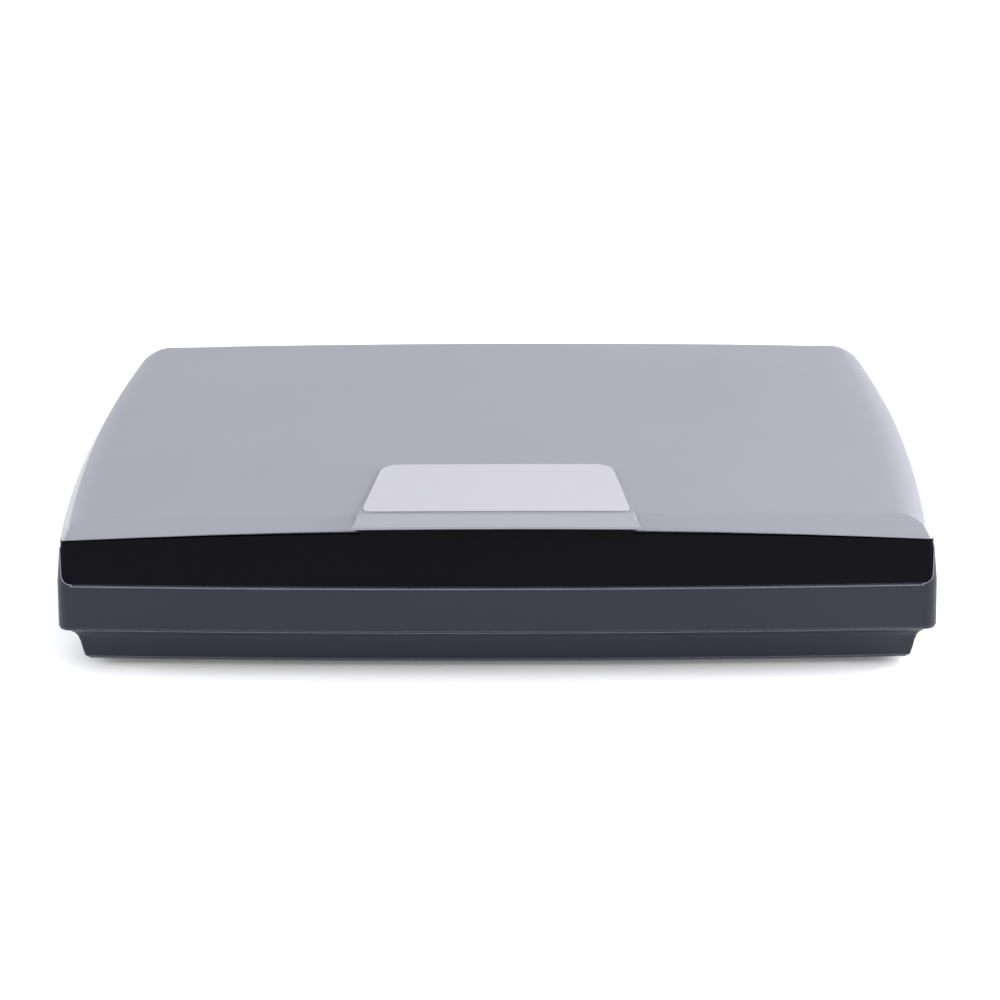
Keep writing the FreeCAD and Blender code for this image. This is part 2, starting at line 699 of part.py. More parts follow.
def make_bottom_housing():
    edge = [body_outline(WALL_EDGE * inset, WALL_LOW + WALL_EDGE * rise) for inset, rise in EDGE_STEPS]
    shell = stack(edge + [body_outline(WALL_DRAFT, BAND_LOW)])
    shell = shell.fuse(body_upper(0.0, BAND_LOW, FLANGE_TOP))
    shell = shell.fuse(plinth_stack(0.0))
    cavity = prism(body_outline(WALL + WALL_DRAFT, WALL_LOW + WALL), BAND_LOW - WALL_LOW - WALL)
    cavity = cavity.fuse(body_upper(WALL, BAND_LOW, DECK_TOP))
    shell = shell.cut(cavity).cut(plinth_cavity())
    shell = shell.cut(box(-HALF_W - PAST, HALF_W + PAST, STEP_Y, BACK + PAST, REAR_TOP, DECK_TOP + PAST))
    shell = shell.cut(band_window(0.0, DECK_TOP + PAST)).cut(band_bevel())

    extras = []
    for x, y in column_places():
        extras.append(rod_z(COLUMN_R, x, y, FLOOR_TOP - SINK, JOIN_Z))
    rail_x1 = HALF_W - RAIL_END_RIGHT
    extras.append(box(-HALF_W + RAIL_END_LEFT, rail_x1, rail_y() - RAIL_WEB / 2, rail_y() + RAIL_WEB / 2,
                      FLOOR_TOP - SINK, RAIL_TOP - RAIL_T))
    for x0, x1 in rod_cradles():
        extras.append(box(x0, x1, rod_line() - ROD_R - CRADLE_T, rod_line() + ROD_R - CRADLE_OPEN,
                          FLOOR_TOP - SINK, ROD_Z))
    for x in post_places():
        extras.append(box(x - POST_W / 2 - SOCKET_WALL, x + POST_W / 2 + SOCKET_WALL,
                          HINGE_Y - POST_T / 2 - SOCKET_WALL, HINGE_Y + POST_T / 2 + SOCKET_WALL,
                          POST_LOW - SOCKET_WALL, REAR_TOP - DECK_RIM))
        extras.append(box(x - SOCKET_RIB / 2, x + SOCKET_RIB / 2, HINGE_Y + POST_T / 2 + SLIDE_CLEAR, BACK,
                          POST_LOW - SOCKET_WALL, REAR_TOP - DECK_RIM - SOCKET_RIB_DOWN))
    extras.append(rod_z(STUD_R + STUD_BOSS, drive_x(), belt_y(), FLOOR_TOP - SINK, GEAR_LOW - GEAR_GAP))
    for x, y in bracket_posts():
        extras.append(rod_z(BRACKET_POST_R, x, y, FLOOR_TOP - SINK, BRACKET_LOW))
    for x, y in board_posts():
        post_low = WALL_LOW if y < board_wall_y() else FLOOR_TOP - SINK
        extras.append(rod_z(BOARD_POST_R, x, y, post_low, BOARD_Z))
    inner = prism(body_outline(WALL - SINK, WALL_LOW + WALL - SINK), REAR_TOP - WALL_LOW)
    neck_low = body_outline(PLINTH[-1][1] + WALL - NECK, WALL_LOW - NECK)
    inner = inner.fuse(plinth_stack(NECK)).fuse(prism(neck_low, WALL + NECK))
    for piece in extras:
        shell = shell.fuse(piece.common(inner))

    for x, y in column_places():
        shell = shell.cut(rod_z(WELL_R, x, y, BOTTOM - PAST, JOIN_Z - COLUMN_HEAD))
        shell = shell.cut(rod_z(SCREW_R + SCREW_CLEAR, x, y, JOIN_Z - COLUMN_HEAD - PAST, JOIN_Z + PAST))
    cradles = rod_cradles()
    shell = shell.cut(rod_x(ROD_R, cradles[0][0] - ROD_END, cradles[1][1], rod_line(), ROD_Z))
    for x in post_places():
        shell = shell.cut(box(x - POST_W / 2 - SLIDE_CLEAR, x + POST_W / 2 + SLIDE_CLEAR,
                              HINGE_Y - POST_T / 2 - SLIDE_CLEAR, HINGE_Y + POST_T / 2 + SLIDE_CLEAR,
                              POST_LOW - SCREW_CLEAR, REAR_TOP + PAST))
    for x, y in foot_places():
        shell = shell.cut(rod_z(FOOT_R + SCREW_CLEAR, x, y, BOTTOM - PAST, BOTTOM + FOOT_SINK))
    shell = shell.cut(port_cut(usb_x(), PORT_W, PORT_H))
    shell = shell.cut(port_cut(jack_x(), JACK_W, PORT_H))
    shell = shell.cut(box(switch_x() - SWITCH_W / 2, switch_x() + SWITCH_W / 2, BACK - SWITCH_HOLE,
                          BACK + PAST, SWITCH_Z - SWITCH_H / 2, SWITCH_Z + SWITCH_H / 2))
    for x, y in bracket_posts():
        shell = shell.cut(rod_z(SCREW_R - SCREW_BITE, x, y, BRACKET_LOW - BRACKET_HOLE, BRACKET_LOW + PAST))
    shell = shell.cut(rod_z(STUD_R, drive_x(), belt_y(), BOTTOM + STUD_IN, GEAR_LOW))
    shell = shell.cut(vent_slots())
    save(shell.removeSplitter(), "bottom_housing")


def vent_slots():
    slots = []
    for i in range(VENT_COUNT):
        x = VENT_X + VENT_STEP * i
        slots.append(box(x - VENT_W / 2, x + VENT_W / 2, BACK - REAR_CUT, BACK + PAST,
                         VENT_LOW, VENT_LOW + VENT_H))
    return Part.makeCompound(slots)


def foot_places():
    x = FOOT_X + WIDTH_SHIFT
    y = FOOT_Y + DEPTH_SHIFT
    return [(-x, -y), (x, -y), (-x, y), (x, y)]


def rod_line():
    return ROD_Y - DEPTH_SHIFT


def belt_y():
    return BELT_Y - DEPTH_SHIFT


def rail_y():
    return RAIL_Y + DEPTH_SHIFT


def drive_x():
    return DRIVE_X + WIDTH_SHIFT


def idler_x():
    return IDLER_X - WIDTH_SHIFT


def head_x():
    return HEAD_X - WIDTH_SHIFT


def head_y0():
    return HEAD_FRONT - DEPTH_SHIFT


def head_y1():
    return HEAD_BACK + DEPTH_SHIFT


def usb_x():
    return USB_X + WIDTH_SHIFT


def jack_x():
    return JACK_X + WIDTH_SHIFT


def switch_x():
    return SWITCH_X - WIDTH_SHIFT


def board_x():
    return BOARD_X + WIDTH_SHIFT


def board_y1():
    return BACK - WALL - BOARD_BACK


def board_y0():
    return board_y1() - BOARD_D


def board_wall_y():
    return board_y0() - BOARD_GAP


def board_posts():
    xs = (board_x() - BOARD_W / 2 + BOARD_HOLE, board_x() + BOARD_W / 2 - BOARD_HOLE_RIGHT)
    ys = (board_y0() + BOARD_HOLE, board_y0() + BOARD_HOLE_BACK)
    return [(x, y) for x in xs for y in ys]


def rod_cradles():
    right = drive_x()
    left = head_span()[0] - CRADLE_LEFT
    return [(left, left + CRADLE_W), (right + CRADLE_RIGHT, right + CRADLE_RIGHT + CRADLE_RIGHT_W)]


def bracket_posts():
    x = drive_x()
    y = belt_y()
    return [(x + dx, y + dy) for dx, dy in BRACKET_HOLES]


def port_cut(x, width, height):
    z0 = BOARD_Z + BOARD_T
    half = width / 2 + PORT_GAP
    return box(x - half, x + half, BACK - REAR_CUT, BACK + PAST, z0 - PORT_GAP, z0 + height + PORT_GAP)


def tab_half_lip():
    """Half width over which the band rises behind the tab."""
    return TAB_HALF_CREASE - LIP_GAP


def make_front_band():
    z1 = LIP_END + LIP_RISE + TAB_LIFT + PAST
    outer = body_upper(BAND_SINK, BAND_LOW, z1)
    inner = body_upper(BAND_SINK + BAND_T, BAND_LOW - PAST, z1 + PAST)
    band = outer.cut(inner).common(band_window(-DECK_GAP, z1 + PAST))
    below_lid = under_lip(-LIP_GAP, LIP_ZONE_FRONT, LIP_ZONE_BACK)
    below_tab = under_lip(TAB_LIFT - LIP_GAP, LIP_ZONE_FRONT, LIP_ZONE_BACK)
    tab_width = box(-tab_half_lip(), tab_half_lip(), LIP_ZONE_FRONT, LIP_ZONE_BACK, 0, TALL)
    band = band.common(below_lid.fuse(below_tab.common(tab_width)))
    save(band.removeSplitter(), "front_band")


def glass_box(grow, z0, z1):
    return box(GLASS_X - GLASS_W / 2 - grow, GLASS_X + GLASS_W / 2 + grow,
               GLASS_Y - GLASS_D / 2 - grow, GLASS_Y + GLASS_D / 2 + grow, z0, z1)


def strip_x0():
    return GLASS_X - GLASS_W / 2 - GLASS_LAP - STRIP_W - STRIP_GAP


def deck_outline(inset, z):
    """Plateau under the lid: the lid's own plan, drawn in."""
    inward = LID_WALL + DECK_IN + inset
    return lid_outline(inward, z)


def make_deck():
    flange_in = WALL + WALL_DRAFT + LEAN + DECK_GAP
    flange = prism(body_outline(flange_in, FLANGE_TOP - DECK_RIM), DECK_RIM)
    plateau = prism(deck_outline(0.0, FLANGE_TOP), DECK_LEDGE)
    hollow_low = FLANGE_TOP - DECK_RIM - PAST
    hollow = prism(deck_outline(DECK_RIM, hollow_low), PLATE_LOW - hollow_low)
    front_part = flange.fuse(plateau).cut(hollow)
    clip = box(-HALF_W, HALF_W, FRONT, STEP_Y, 0, TALL)
    front_part = front_part.common(clip)
    shelf_outline = prism(body_outline(flange_in, REAR_TOP - DECK_RIM), DECK_RIM)
    shelf = shelf_outline.common(box(-HALF_W, HALF_W, STEP_Y - DECK_RIM, BACK, 0, TALL))
    riser_plan = prism(deck_outline(0.0, REAR_TOP - DECK_RIM), DECK_TOP - REAR_TOP + DECK_RIM)
    riser = riser_plan.common(box(-HALF_W, HALF_W, STEP_Y - DECK_RIM, STEP_Y, 0, TALL))
    deck = joined([front_part, shelf, riser])
    band_back = body_upper(BAND_SINK + BAND_T, BAND_LOW, DECK_TOP + ABOVE_DECK)
    keep = band_back.fuse(box(-HALF_W, HALF_W, FRONT + BAND_ZONE, BACK, 0, TALL))
    deck = deck.common(keep)
    for x, y in column_places():
        top = PLATE_LOW if y < STEP_Y else REAR_TOP - DECK_RIM
        deck = deck.fuse(rod_z(COLUMN_R - DECK_BOSS_IN, x, y, JOIN_Z, top))
    deck = deck.cut(glass_box(0.0, 0, TALL))
    for x, y in column_places():
        deck = deck.cut(rod_z(SCREW_R - SCREW_BITE, x, y, JOIN_Z - PAST, JOIN_Z + DECK_HOLE))
    for x in post_places():
        half_w = POST_W / 2 + POST_HOLE
        half_t = POST_T / 2 + POST_HOLE
        deck = deck.cut(box(x - half_w, x + half_w, HINGE_Y - half_t, HINGE_Y + half_t, 0, TALL))
    for x, y in bumper_places():
        deck = deck.cut(rod_z(BUMPER_R + BUMPER_SEAT, x, y, DECK_TOP - BUMPER_SINK, TALL))
    save(deck.removeSplitter(), "deck_frame")


def glass_z():
    """Underside and top of the glass."""
    top = PLATE_LOW - TAPE_T
    return top - GLASS_T, top


def make_glass():
    low, high = glass_z()
    x0 = strip_x0() - STRIP_GAP
    x1 = GLASS_X + GLASS_W / 2 + GLASS_LAP
    y0 = GLASS_Y - GLASS_D / 2 - GLASS_LAP
    y1 = GLASS_Y + GLASS_D / 2 + GLASS_LAP
    pane = box(x0, x1, y0, y1, low, high)
    upright = [e for e in pane.Edges if e.BoundBox.ZLength > GLASS_T / 2]
    save(pane.makeFillet(GLASS_R, upright), "scan_glass")
    ring = glass_box(GLASS_LAP - TAPE_IN, high, PLATE_LOW)
    ring = ring.cut(glass_box(TAPE_IN, high - PAST, PLATE_LOW + PAST))
    save(ring, "glass_tape")
    save(box(strip_x0(), strip_x0() + STRIP_W, y0 + STRIP_IN, y1 - STRIP_IN, high, PLATE_LOW), "white_strip")


# ---- lid ----
def make_lid_shell():
    block = lid_block(0.0, SKIRT_LOW)
    lid = block.cut(above_top(0.0)).cut(above_bevel(0.0, 0.0))
    tab = prism(tab_outline(0.0, SKIRT_SHOULDER), TALL - SKIRT_SHOULDER)
    tab = tab.common(prism(lid_outline(-TAB_OUT, SKIRT_SHOULDER), TALL - SKIRT_SHOULDER))
    tab = tab.cut(above_top(TAB_PROUD)).cut(above_bevel(TAB_LIFT, 0.0))
    lid = lid.fuse(tab)
    core = lid_block(LID_WALL, SKIRT_LOW - PAST)
    core = core.cut(above_top(-LID_WALL)).cut(above_bevel(-LID_WALL - BEVEL_THICKER, 0.0))
    lid = lid.cut(core)
    slab_back = LID_FRONT + FRONT_SLAB
    lid = lid.cut(under_lip(0.0, LIP_ZONE_FRONT, slab_back))
    notch = under_lip(TAB_LIFT, LIP_ZONE_FRONT, slab_back)
    lid = lid.cut(notch.common(prism(tab_outline(0.0, 0.0), TALL)))
    rear_cut = box(-HALF_W - PAST, HALF_W + PAST, HINGE_Y - REAR_CUT_IN, BACK + PAST,
                   SKIRT_LOW - PAST, SKIRT_REAR_LOW)
    lid = lid.cut(rear_cut)
    for x in post_places():
        lid = lid.cut(box(x - POST_W / 2 - HINGE_NOTCH, x + POST_W / 2 + HINGE_NOTCH, HINGE_Y, BACK + PAST,
                          SKIRT_LOW - PAST, HINGE_Z + HINGE_NOTCH_UP))
    lid = lid.cut(plate_block(0.0).common(above_top(TAB_PROUD + PLATE_PROUD - PLATE_T)))
    for x, y in lid_screw_places():
        boss = rod_z(LID_BOSS_R, x, y, LINER_LOW + LINER_T, top_height(x, y) - LID_WALL + BOSS_IN)
        lid = lid.fuse(boss.cut(rod_z(SCREW_R + SCREW_CLEAR, x, y, LINER_LOW, LID_TOP - LID_HOLE)))
    save(lid.removeSplitter(), "lid_shell")


def plate_front():
    return LID_FRONT + BEVEL_RUN + PLATE_BACK


def plate_block(gap):
    """Upright block with the nameplate's plan, drawn in by a gap."""
    inset = PLATE_IN + gap
    y_front = plate_front() + gap
    y_back = LID_FRONT + TAB_DEPTH - inset
    front = TAB_HALF_CREASE - inset
    back = TAB_HALF_BACK - inset
    ring = [
        Vector(-front, y_front, SKIRT_SHOULDER),
        Vector(front, y_front, SKIRT_SHOULDER),
        Vector(back, y_back, SKIRT_SHOULDER),
        Vector(-back, y_back, SKIRT_SHOULDER),
    ]
    block = prism(Part.makePolygon(ring + ring[:1]), TALL - SKIRT_SHOULDER)
    uprights = [e for e in block.Edges if e.BoundBox.ZLength > SLIVER]
    front_corners = [e for e in uprights if e.BoundBox.YMax < y_front + SLIVER]
    block = block.makeFillet(PLATE_FRONT_R - gap, front_corners)
    uprights = [e for e in block.Edges if e.BoundBox.ZLength > SLIVER]
    back_corners = [e for e in uprights if e.BoundBox.YMin > y_back - SLIVER]
    return block.makeFillet(TAB_R - inset, back_corners)


def make_nameplate():
    plate = plate_block(PLATE_GAP)
    plate = plate.cut(above_top(TAB_PROUD + PLATE_PROUD))
    plate = plate.common(above_top(TAB_PROUD + PLATE_PROUD - PLATE_T))
    save(plate, "nameplate")


def lid_screw_places():
    x = LID_SCREW_X + WIDTH_SHIFT
    y = LID_SCREW_Y + DEPTH_SHIFT
    return [(-x, -y), (x, -y), (-x, y), (x, y)]


def bumper_places():
    x = HALF_W - BUMPER_SIDE
    ys = (FRONT + BUMPER_FRONT, STEP_Y - BUMPER_BACK)
    return [(side, y) for y in ys for side in (-x, x)]


def make_liner():
    """Flat lining of the lid, with the ears that carry the hinge pins."""
    tray = prism(lid_outline(LINER_IN, LINER_LOW), LINER_T)
    rim = prism(lid_outline(LINER_IN, LINER_LOW), LINER_T + LINER_LIP_H)
    rim = rim.cut(prism(lid_outline(LINER_IN + LINER_T, LINER_LOW + LINER_T), LINER_LIP_H + PAST))
    rim = rim.cut(above_bevel(-LID_WALL - LINER_GAP, 0.0))
    liner = tray.fuse(rim)
    reach = POST_W / 2 + EAR_GAP
    for x in post_places():
        liner = liner.cut(box(x - reach, x + reach, HINGE_Y - BARREL_R - EAR_NOTCH, BACK, 0, TALL))
        for s in (-1, 1):
            x0 = min(x + s * reach, x + s * (reach + EAR_T))
            foot = box(x0, x0 + EAR_T, HINGE_Y - BARREL_R, HINGE_Y + BARREL_R, LINER_LOW + LINER_T, HINGE_Z)
            liner = liner.fuse(foot.fuse(rod_x(BARREL_R, x0, x0 + EAR_T, HINGE_Y, HINGE_Z)))
        liner = liner.cut(rod_x(PIN_R, x - reach - EAR_T - PAST, x + reach + EAR_T + PAST, HINGE_Y, HINGE_Z))
    for x, y in lid_screw_places():
        liner = liner.cut(rod_z(SCREW_R + SCREW_CLEAR, x, y, LINER_LOW - PAST, LINER_LOW + LINER_T + PAST))
    save(liner.removeSplitter(), "lid_liner")
    screws = []
    for x, y in lid_screw_places():
        shank = rod_z(SCREW_R, x, y, LINER_LOW, LID_TOP - LID_SHANK)
        head = rod_z(SCREW_HEAD_R, x, y, LINER_LOW - LID_SCREW_HEAD, LINER_LOW)
        screws.append(shank.fuse(head).removeSplitter())
    save(Part.makeCompound(screws), "lid_screws")
    bumpers = []
    for x, y in bumper_places():
        bumpers.append(rod_z(BUMPER_R, x, y, DECK_TOP - BUMPER_PRESS, LINER_LOW))
    save(Part.makeCompound(bumpers), "lid_bumpers")


def make_pad():
    low = glass_z()[1] + PAD_GAP
    save(glass_box(-PAD_SIDE_GAP, low + SHEET_T, LINER_LOW), "pad_foam")
    save(glass_box(-PAD_SIDE_GAP + SHEET_IN, low, low + SHEET_T), "pad_sheet")


def make_hinges():
    posts = []
    pins = []
    for x in post_places():
        post = box(x - POST_W / 2, x + POST_W / 2, HINGE_Y - POST_T / 2, HINGE_Y + POST_T / 2,
                   POST_LOW, HINGE_Z)
        post = post.fuse(rod_x(BARREL_R, x - POST_W / 2, x + POST_W / 2, HINGE_Y, HINGE_Z))
        waist = box(x - POST_W / 4, x + POST_W / 4, HINGE_Y - POST_T, HINGE_Y - POST_T / 4,
                    POST_LOW + WAIST_END, REAR_TOP - WAIST_END)
        post = post.cut(waist)
        post = post.cut(rod_x(PIN_R + PIN_CLEAR, x - POST_W, x + POST_W, HINGE_Y, HINGE_Z))
        posts.append(post.removeSplitter())
        reach = POST_W / 2 + EAR_GAP + EAR_T
        pins.append(rod_x(PIN_R, x - reach, x + reach, HINGE_Y, HINGE_Z))
    save(Part.makeCompound(posts), "hinge_posts")
    save(Part.makeCompound(pins), "hinge_pins")


# ---- scan head ----
def head_span():
    return head_x() - HEAD_W / 2, head_x() + HEAD_W / 2


def make_head():
    x0, x1 = head_span()
    y0 = head_y0()
    y1 = head_y1()
    body = box(x0, x1, y0, y1, HEAD_LOW, HEAD_TOP)
    body = body.cut(box(x0 + HEAD_WALL, x1 - HEAD_WALL, y0 + HEAD_WALL, y1 - HEAD_WALL,
                        HEAD_LOW + HEAD_WALL, HEAD_TOP + PAST))
    for bx in sleeve_places():
        block = box(bx, bx + BLOCK_W, rod_line() - BLOCK_HALF, rod_line() + BLOCK_HALF,
                    ROD_Z - BLOCK_DOWN, HEAD_LOW + SINK)
        body = body.fuse(block)
    shoe_top = RAIL_TOP + SHOE_H
    shoe_post = box(head_x() - SHOE_POST_W / 2, head_x() + SHOE_POST_W / 2,
                    rail_y() - RAIL_W / 2, rail_y() + RAIL_W / 2, shoe_top, HEAD_LOW + SINK)
    body = body.fuse(shoe_post)
    clamp_y = belt_y() - PULLEY_R - BELT_CLEAR - BELT_T / 2
    for y in (clamp_y - CLAMP_GAP / 2 - CLAMP_T, clamp_y + CLAMP_GAP / 2):
        body = body.fuse(box(head_x() - CLAMP_W / 2, head_x() + CLAMP_W / 2, y, y + CLAMP_T,
                              BELT_LOW - CLAMP_DOWN, HEAD_LOW + SINK))
    for bx in sleeve_places():
        body = body.cut(rod_x(ROD_R + SLEEVE_T, bx - PAST, bx + BLOCK_W + PAST, rod_line(), ROD_Z))
    for y in spread(y0 + RIB_END, y1 - RIB_END, RIB_COUNT):
        rib = box(x0 + HEAD_WALL, x0 + HEAD_WALL + RIB_T, y - RIB_T / 2, y + RIB_T / 2,
                  HEAD_LOW + HEAD_WALL, HEAD_TOP - RIB_DOWN)
        body = body.fuse(rib)
    save(body.removeSplitter(), "head_housing")

    cover = box(x0, x1, y0, y1, HEAD_TOP, HEAD_TOP + COVER_T)
    slit = box(head_x() - SLIT_W / 2, head_x() + SLIT_W / 2, y0 + SLIT_END, y1 - SLIT_END,
               HEAD_TOP - PAST, HEAD_TOP + COVER_T + PAST)
    cover = cover.cut(slit)
    save(cover, "head_cover")

    sleeves = []
    for bx in sleeve_places():
        sleeve = rod_x(ROD_R + SLEEVE_T, bx, bx + BLOCK_W, rod_line(), ROD_Z)
        bore = rod_x(ROD_R + PIN_CLEAR, bx - PAST, bx + BLOCK_W + PAST, rod_line(), ROD_Z)
        sleeves.append(sleeve.cut(bore))
    save(Part.makeCompound(sleeves), "rod_sleeves")
    shoe = box(head_x() - SHOE_W / 2, head_x() + SHOE_W / 2, rail_y() - SHOE_D / 2, rail_y() + SHOE_D / 2,
               RAIL_TOP + SHOE_CLEAR, shoe_top)
    save(shoe, "slide_shoe")


def sleeve_places():
    x0, x1 = head_span()
    return [x0, x1 - BLOCK_W]


def make_optics():
    """Lamp, mirrors, lens and sensor, inside the scan head."""
    x0, x1 = head_span()
    y0 = head_y0() + HEAD_WALL
    y1 = head_y1() - HEAD_WALL
    lamp_x = head_x() - LAMP_X
    lamp_z = HEAD_TOP - LAMP_DOWN
    lamp = rod_y(LAMP_R, lamp_x, y0 + LAMP_END, y1 - LAMP_END, lamp_z)
    save(lamp, "scan_lamp")
    caps = []
    for y in (y0, y1 - CAP_D):
        cap = box(lamp_x - CAP_HALF, lamp_x + CAP_HALF, y, y + CAP_D, lamp_z - CAP_HALF, lamp_z + CAP_HALF)
        caps.append(cap.cut(lamp))
    save(Part.makeCompound(caps), "lamp_holders")
    reflector = rod_y(REFLECTOR_R, lamp_x, y0 + REFLECTOR_END, y1 - REFLECTOR_END, lamp_z)
    reflector = reflector.cut(rod_y(REFLECTOR_R - REFLECTOR_T, lamp_x, y0, y1, lamp_z))
    opening = box(lamp_x - REFLECTOR_OPEN / 2, x1, y0, y1, lamp_z - REFLECTOR_OPEN, TALL)
    save(reflector.cut(opening), "lamp_reflector")

    mirrors = []
    for dx, dz, tilt, length in MIRRORS:
        corner = Vector(-MIRROR_W / 2, -length / 2, -MIRROR_T / 2)
        strip = Part.makeBox(MIRROR_W, length, MIRROR_T, corner)
        strip.rotate(Vector(0, 0, 0), Vector(0, 1, 0), tilt)
        strip.translate(Vector(head_x() + dx, (y0 + y1) / 2, HEAD_LOW + HEAD_WALL + dz))
        mirrors.append(strip)
    save(Part.makeCompound(mirrors), "fold_mirrors")
    mid = (y0 + y1) / 2
    lens_x = head_x() + LENS_X
    lens_z = HEAD_LOW + LENS_UP
    lens = rod_x(LENS_R, lens_x, lens_x + LENS_LENGTH, mid, lens_z)
    lens = lens.fuse(rod_x(LENS_RING_R, lens_x - LENS_RING_LENGTH, lens_x, mid, lens_z))
    save(lens.removeSplitter(), "lens_barrel")
    board_x1 = x1 - HEAD_WALL - SENSOR_GAP
    board_x0 = board_x1 - BOARD_T
    board = box(board_x0, board_x1, mid - SENSOR_D / 2, mid + SENSOR_D / 2,
                HEAD_LOW + SENSOR_UP, HEAD_TOP - SENSOR_DOWN)
    chip = box(board_x0 - CHIP_T, board_x0, mid - CHIP_D / 2, mid + CHIP_D / 2,
               lens_z - CHIP_H / 2, lens_z + CHIP_H / 2)
    save(board.fuse(chip).removeSplitter(), "sensor_board")


def make_rails():
    cradles = rod_cradles()
    save(rod_x(ROD_R, cradles[0][0] - ROD_END, cradles[1][1], rod_line(), ROD_Z), "guide_rod")
    rail = box(-HALF_W + RAIL_END_LEFT, HALF_W - RAIL_END_RIGHT, rail_y() - RAIL_W / 2, rail_y() + RAIL_W / 2,
               RAIL_TOP - RAIL_T, RAIL_TOP)
    save(rail, "support_rail")


# ---- drive ----
def gear(teeth, phase, x, y, z0, z1):
    """Spur gear with plain flanks; phase is the angle of one tooth's middle, in degrees."""
    pitch_r = GEAR_MODULE * teeth / 2
    tip = pitch_r + TOOTH_OUT
    root = pitch_r - TOOTH_IN
    step = 2 * math.pi / teeth
    points = []
    for i in range(teeth):
        mid = math.radians(phase) + i * step
        flank = list(zip((root, pitch_r, tip), TOOTH_HALF_WIDTHS))
        for radius, width in flank:
            points.append((radius, mid - width * step))
        for radius, width in reversed(flank):
            points.append((radius, mid + width * step))
    ring = [Vector(x + r * math.cos(a), y + r * math.sin(a), z0) for r, a in points]
    return Part.Face(Part.makePolygon(ring + ring[:1])).extrude(Vector(0, 0, z1 - z0))


def motor_place():
    reach = GEAR_MODULE * (GEAR_TEETH + PINION_TEETH) / 2
    return drive_x() + MOTOR_DX, belt_y() + math.sqrt(reach ** 2 - MOTOR_DX ** 2)


def make_drive():
    x = drive_x()
    y = belt_y()
    mx, my = motor_place()
    line = math.degrees(math.atan2(my - y, mx - x))
    big = gear(GEAR_TEETH, line + 180.0 / GEAR_TEETH, x, y, GEAR_LOW, GEAR_LOW + GEAR_H)
    rim_z = BELT_LOW + BELT_H + RIM_GAP
    hub = rod_z(RIM_R, x, y, GEAR_LOW + GEAR_H, BELT_LOW - RIM_GAP)
    pulley = rod_z(PULLEY_R, x, y, BELT_LOW - RIM_GAP, rim_z)
    rim = rod_z(RIM_R, x, y, rim_z, rim_z + RIM_T)
    wheel = joined([big, hub, pulley, rim])
    wheel = wheel.cut(rod_z(STUD_R + PIN_CLEAR, x, y, GEAR_LOW - PAST, BRACKET_LOW))
    save(wheel, "drive_gear")
    save(rod_z(STUD_R, x, y, BOTTOM + STUD_IN, BRACKET_LOW - SCREW_CLEAR), "gear_stud")

    pinion = gear(PINION_TEETH, line + 180.0, mx, my, GEAR_LOW, GEAR_LOW + GEAR_H + PINION_OVER)
    pinion = pinion.cut(rod_z(SHAFT_R, mx, my, GEAR_LOW - PAST, BRACKET_LOW))
    save(pinion, "motor_pinion")
    save(rod_z(SHAFT_R, mx, my, GEAR_LOW, BRACKET_LOW + BRACKET_T + SHAFT_IN), "motor_shaft")

    z0 = BRACKET_LOW + BRACKET_T
    motor = rod_z(MOTOR_R, mx, my, z0, z0 + MOTOR_H)
    flange = box(mx - MOTOR_EAR, mx + MOTOR_EAR, my - MOTOR_EAR_D / 2, my + MOTOR_EAR_D / 2,
                 z0, z0 + MOTOR_EAR_T)
    motor = motor.fuse(flange).cut(rod_z(SHAFT_R + SCREW_CLEAR, mx, my, z0 - PAST, z0 + SHAFT_IN + SINK))
    save(motor.removeSplitter(), "motor_body")
    x0, x1, y0, y1 = BRACKET_PLAN
    plate = box(x + x0, x + x1, y + y0, y + y1, BRACKET_LOW, z0)
    upright = [e for e in plate.Edges if e.BoundBox.ZLength > BRACKET_T / 2]
    plate = plate.makeFillet(BRACKET_R, upright)
    plate = plate.cut(rod_z(BRACKET_WINDOW_R, mx, my, BRACKET_LOW - PAST, z0 + PAST))
    screws = []
    for px, py in bracket_posts():
        plate = plate.cut(rod_z(SCREW_R + SCREW_CLEAR, px, py, BRACKET_LOW - PAST, z0 + PAST))
        shank = rod_z(SCREW_R - SCREW_BITE, px, py, BRACKET_LOW - BRACKET_SHANK, z0)
        screws.append(shank.fuse(rod_z(SCREW_HEAD_R, px, py, z0, z0 + SCREW_HEAD_H)).removeSplitter())
    save(plate, "motor_bracket")
    save(Part.makeCompound(screws), "bracket_screws")

    ix = idler_x()
    idler = rod_z(PULLEY_R, ix, y, BELT_LOW - RIM_GAP, rim_z)
    for z in (BELT_LOW - RIM_GAP - RIM_T, rim_z):
        idler = idler.fuse(rod_z(RIM_R, ix, y, z, z + RIM_T))
    idler = idler.cut(rod_z(STUD_R + PIN_CLEAR, ix, y, 0, BRACKET_LOW))
    save(idler.removeSplitter(), "idler_pulley")
    cx0 = ix - CARRIER_LEFT
    cx1 = ix + CARRIER_RIGHT
    half = CARRIER_D / 2
    carrier = box(cx0, cx1, y - half, y + half, FLOOR_TOP, GEAR_LOW + CARRIER_UP)
    carrier = carrier.fuse(rod_z(STUD_R, ix, y, GEAR_LOW, rim_z + RIM_T + CARRIER_STUD_UP))
    hollow = box(cx0 - PAST, cx1 - CARRIER_WALL, y - half + CARRIER_WALL, y + half - CARRIER_WALL,
                 FLOOR_TOP - PAST, GEAR_LOW - CARRIER_SKIN)
    save(carrier.cut(hollow).removeSplitter(), "idler_carrier")

    inner_r = PULLEY_R + BELT_CLEAR
    belt = belt_loop(ix, x, y, inner_r + BELT_T, BELT_LOW, BELT_H)
    save(belt.cut(belt_loop(ix, x, y, inner_r, BELT_LOW - PAST, BELT_H + PAST)), "drive_belt")


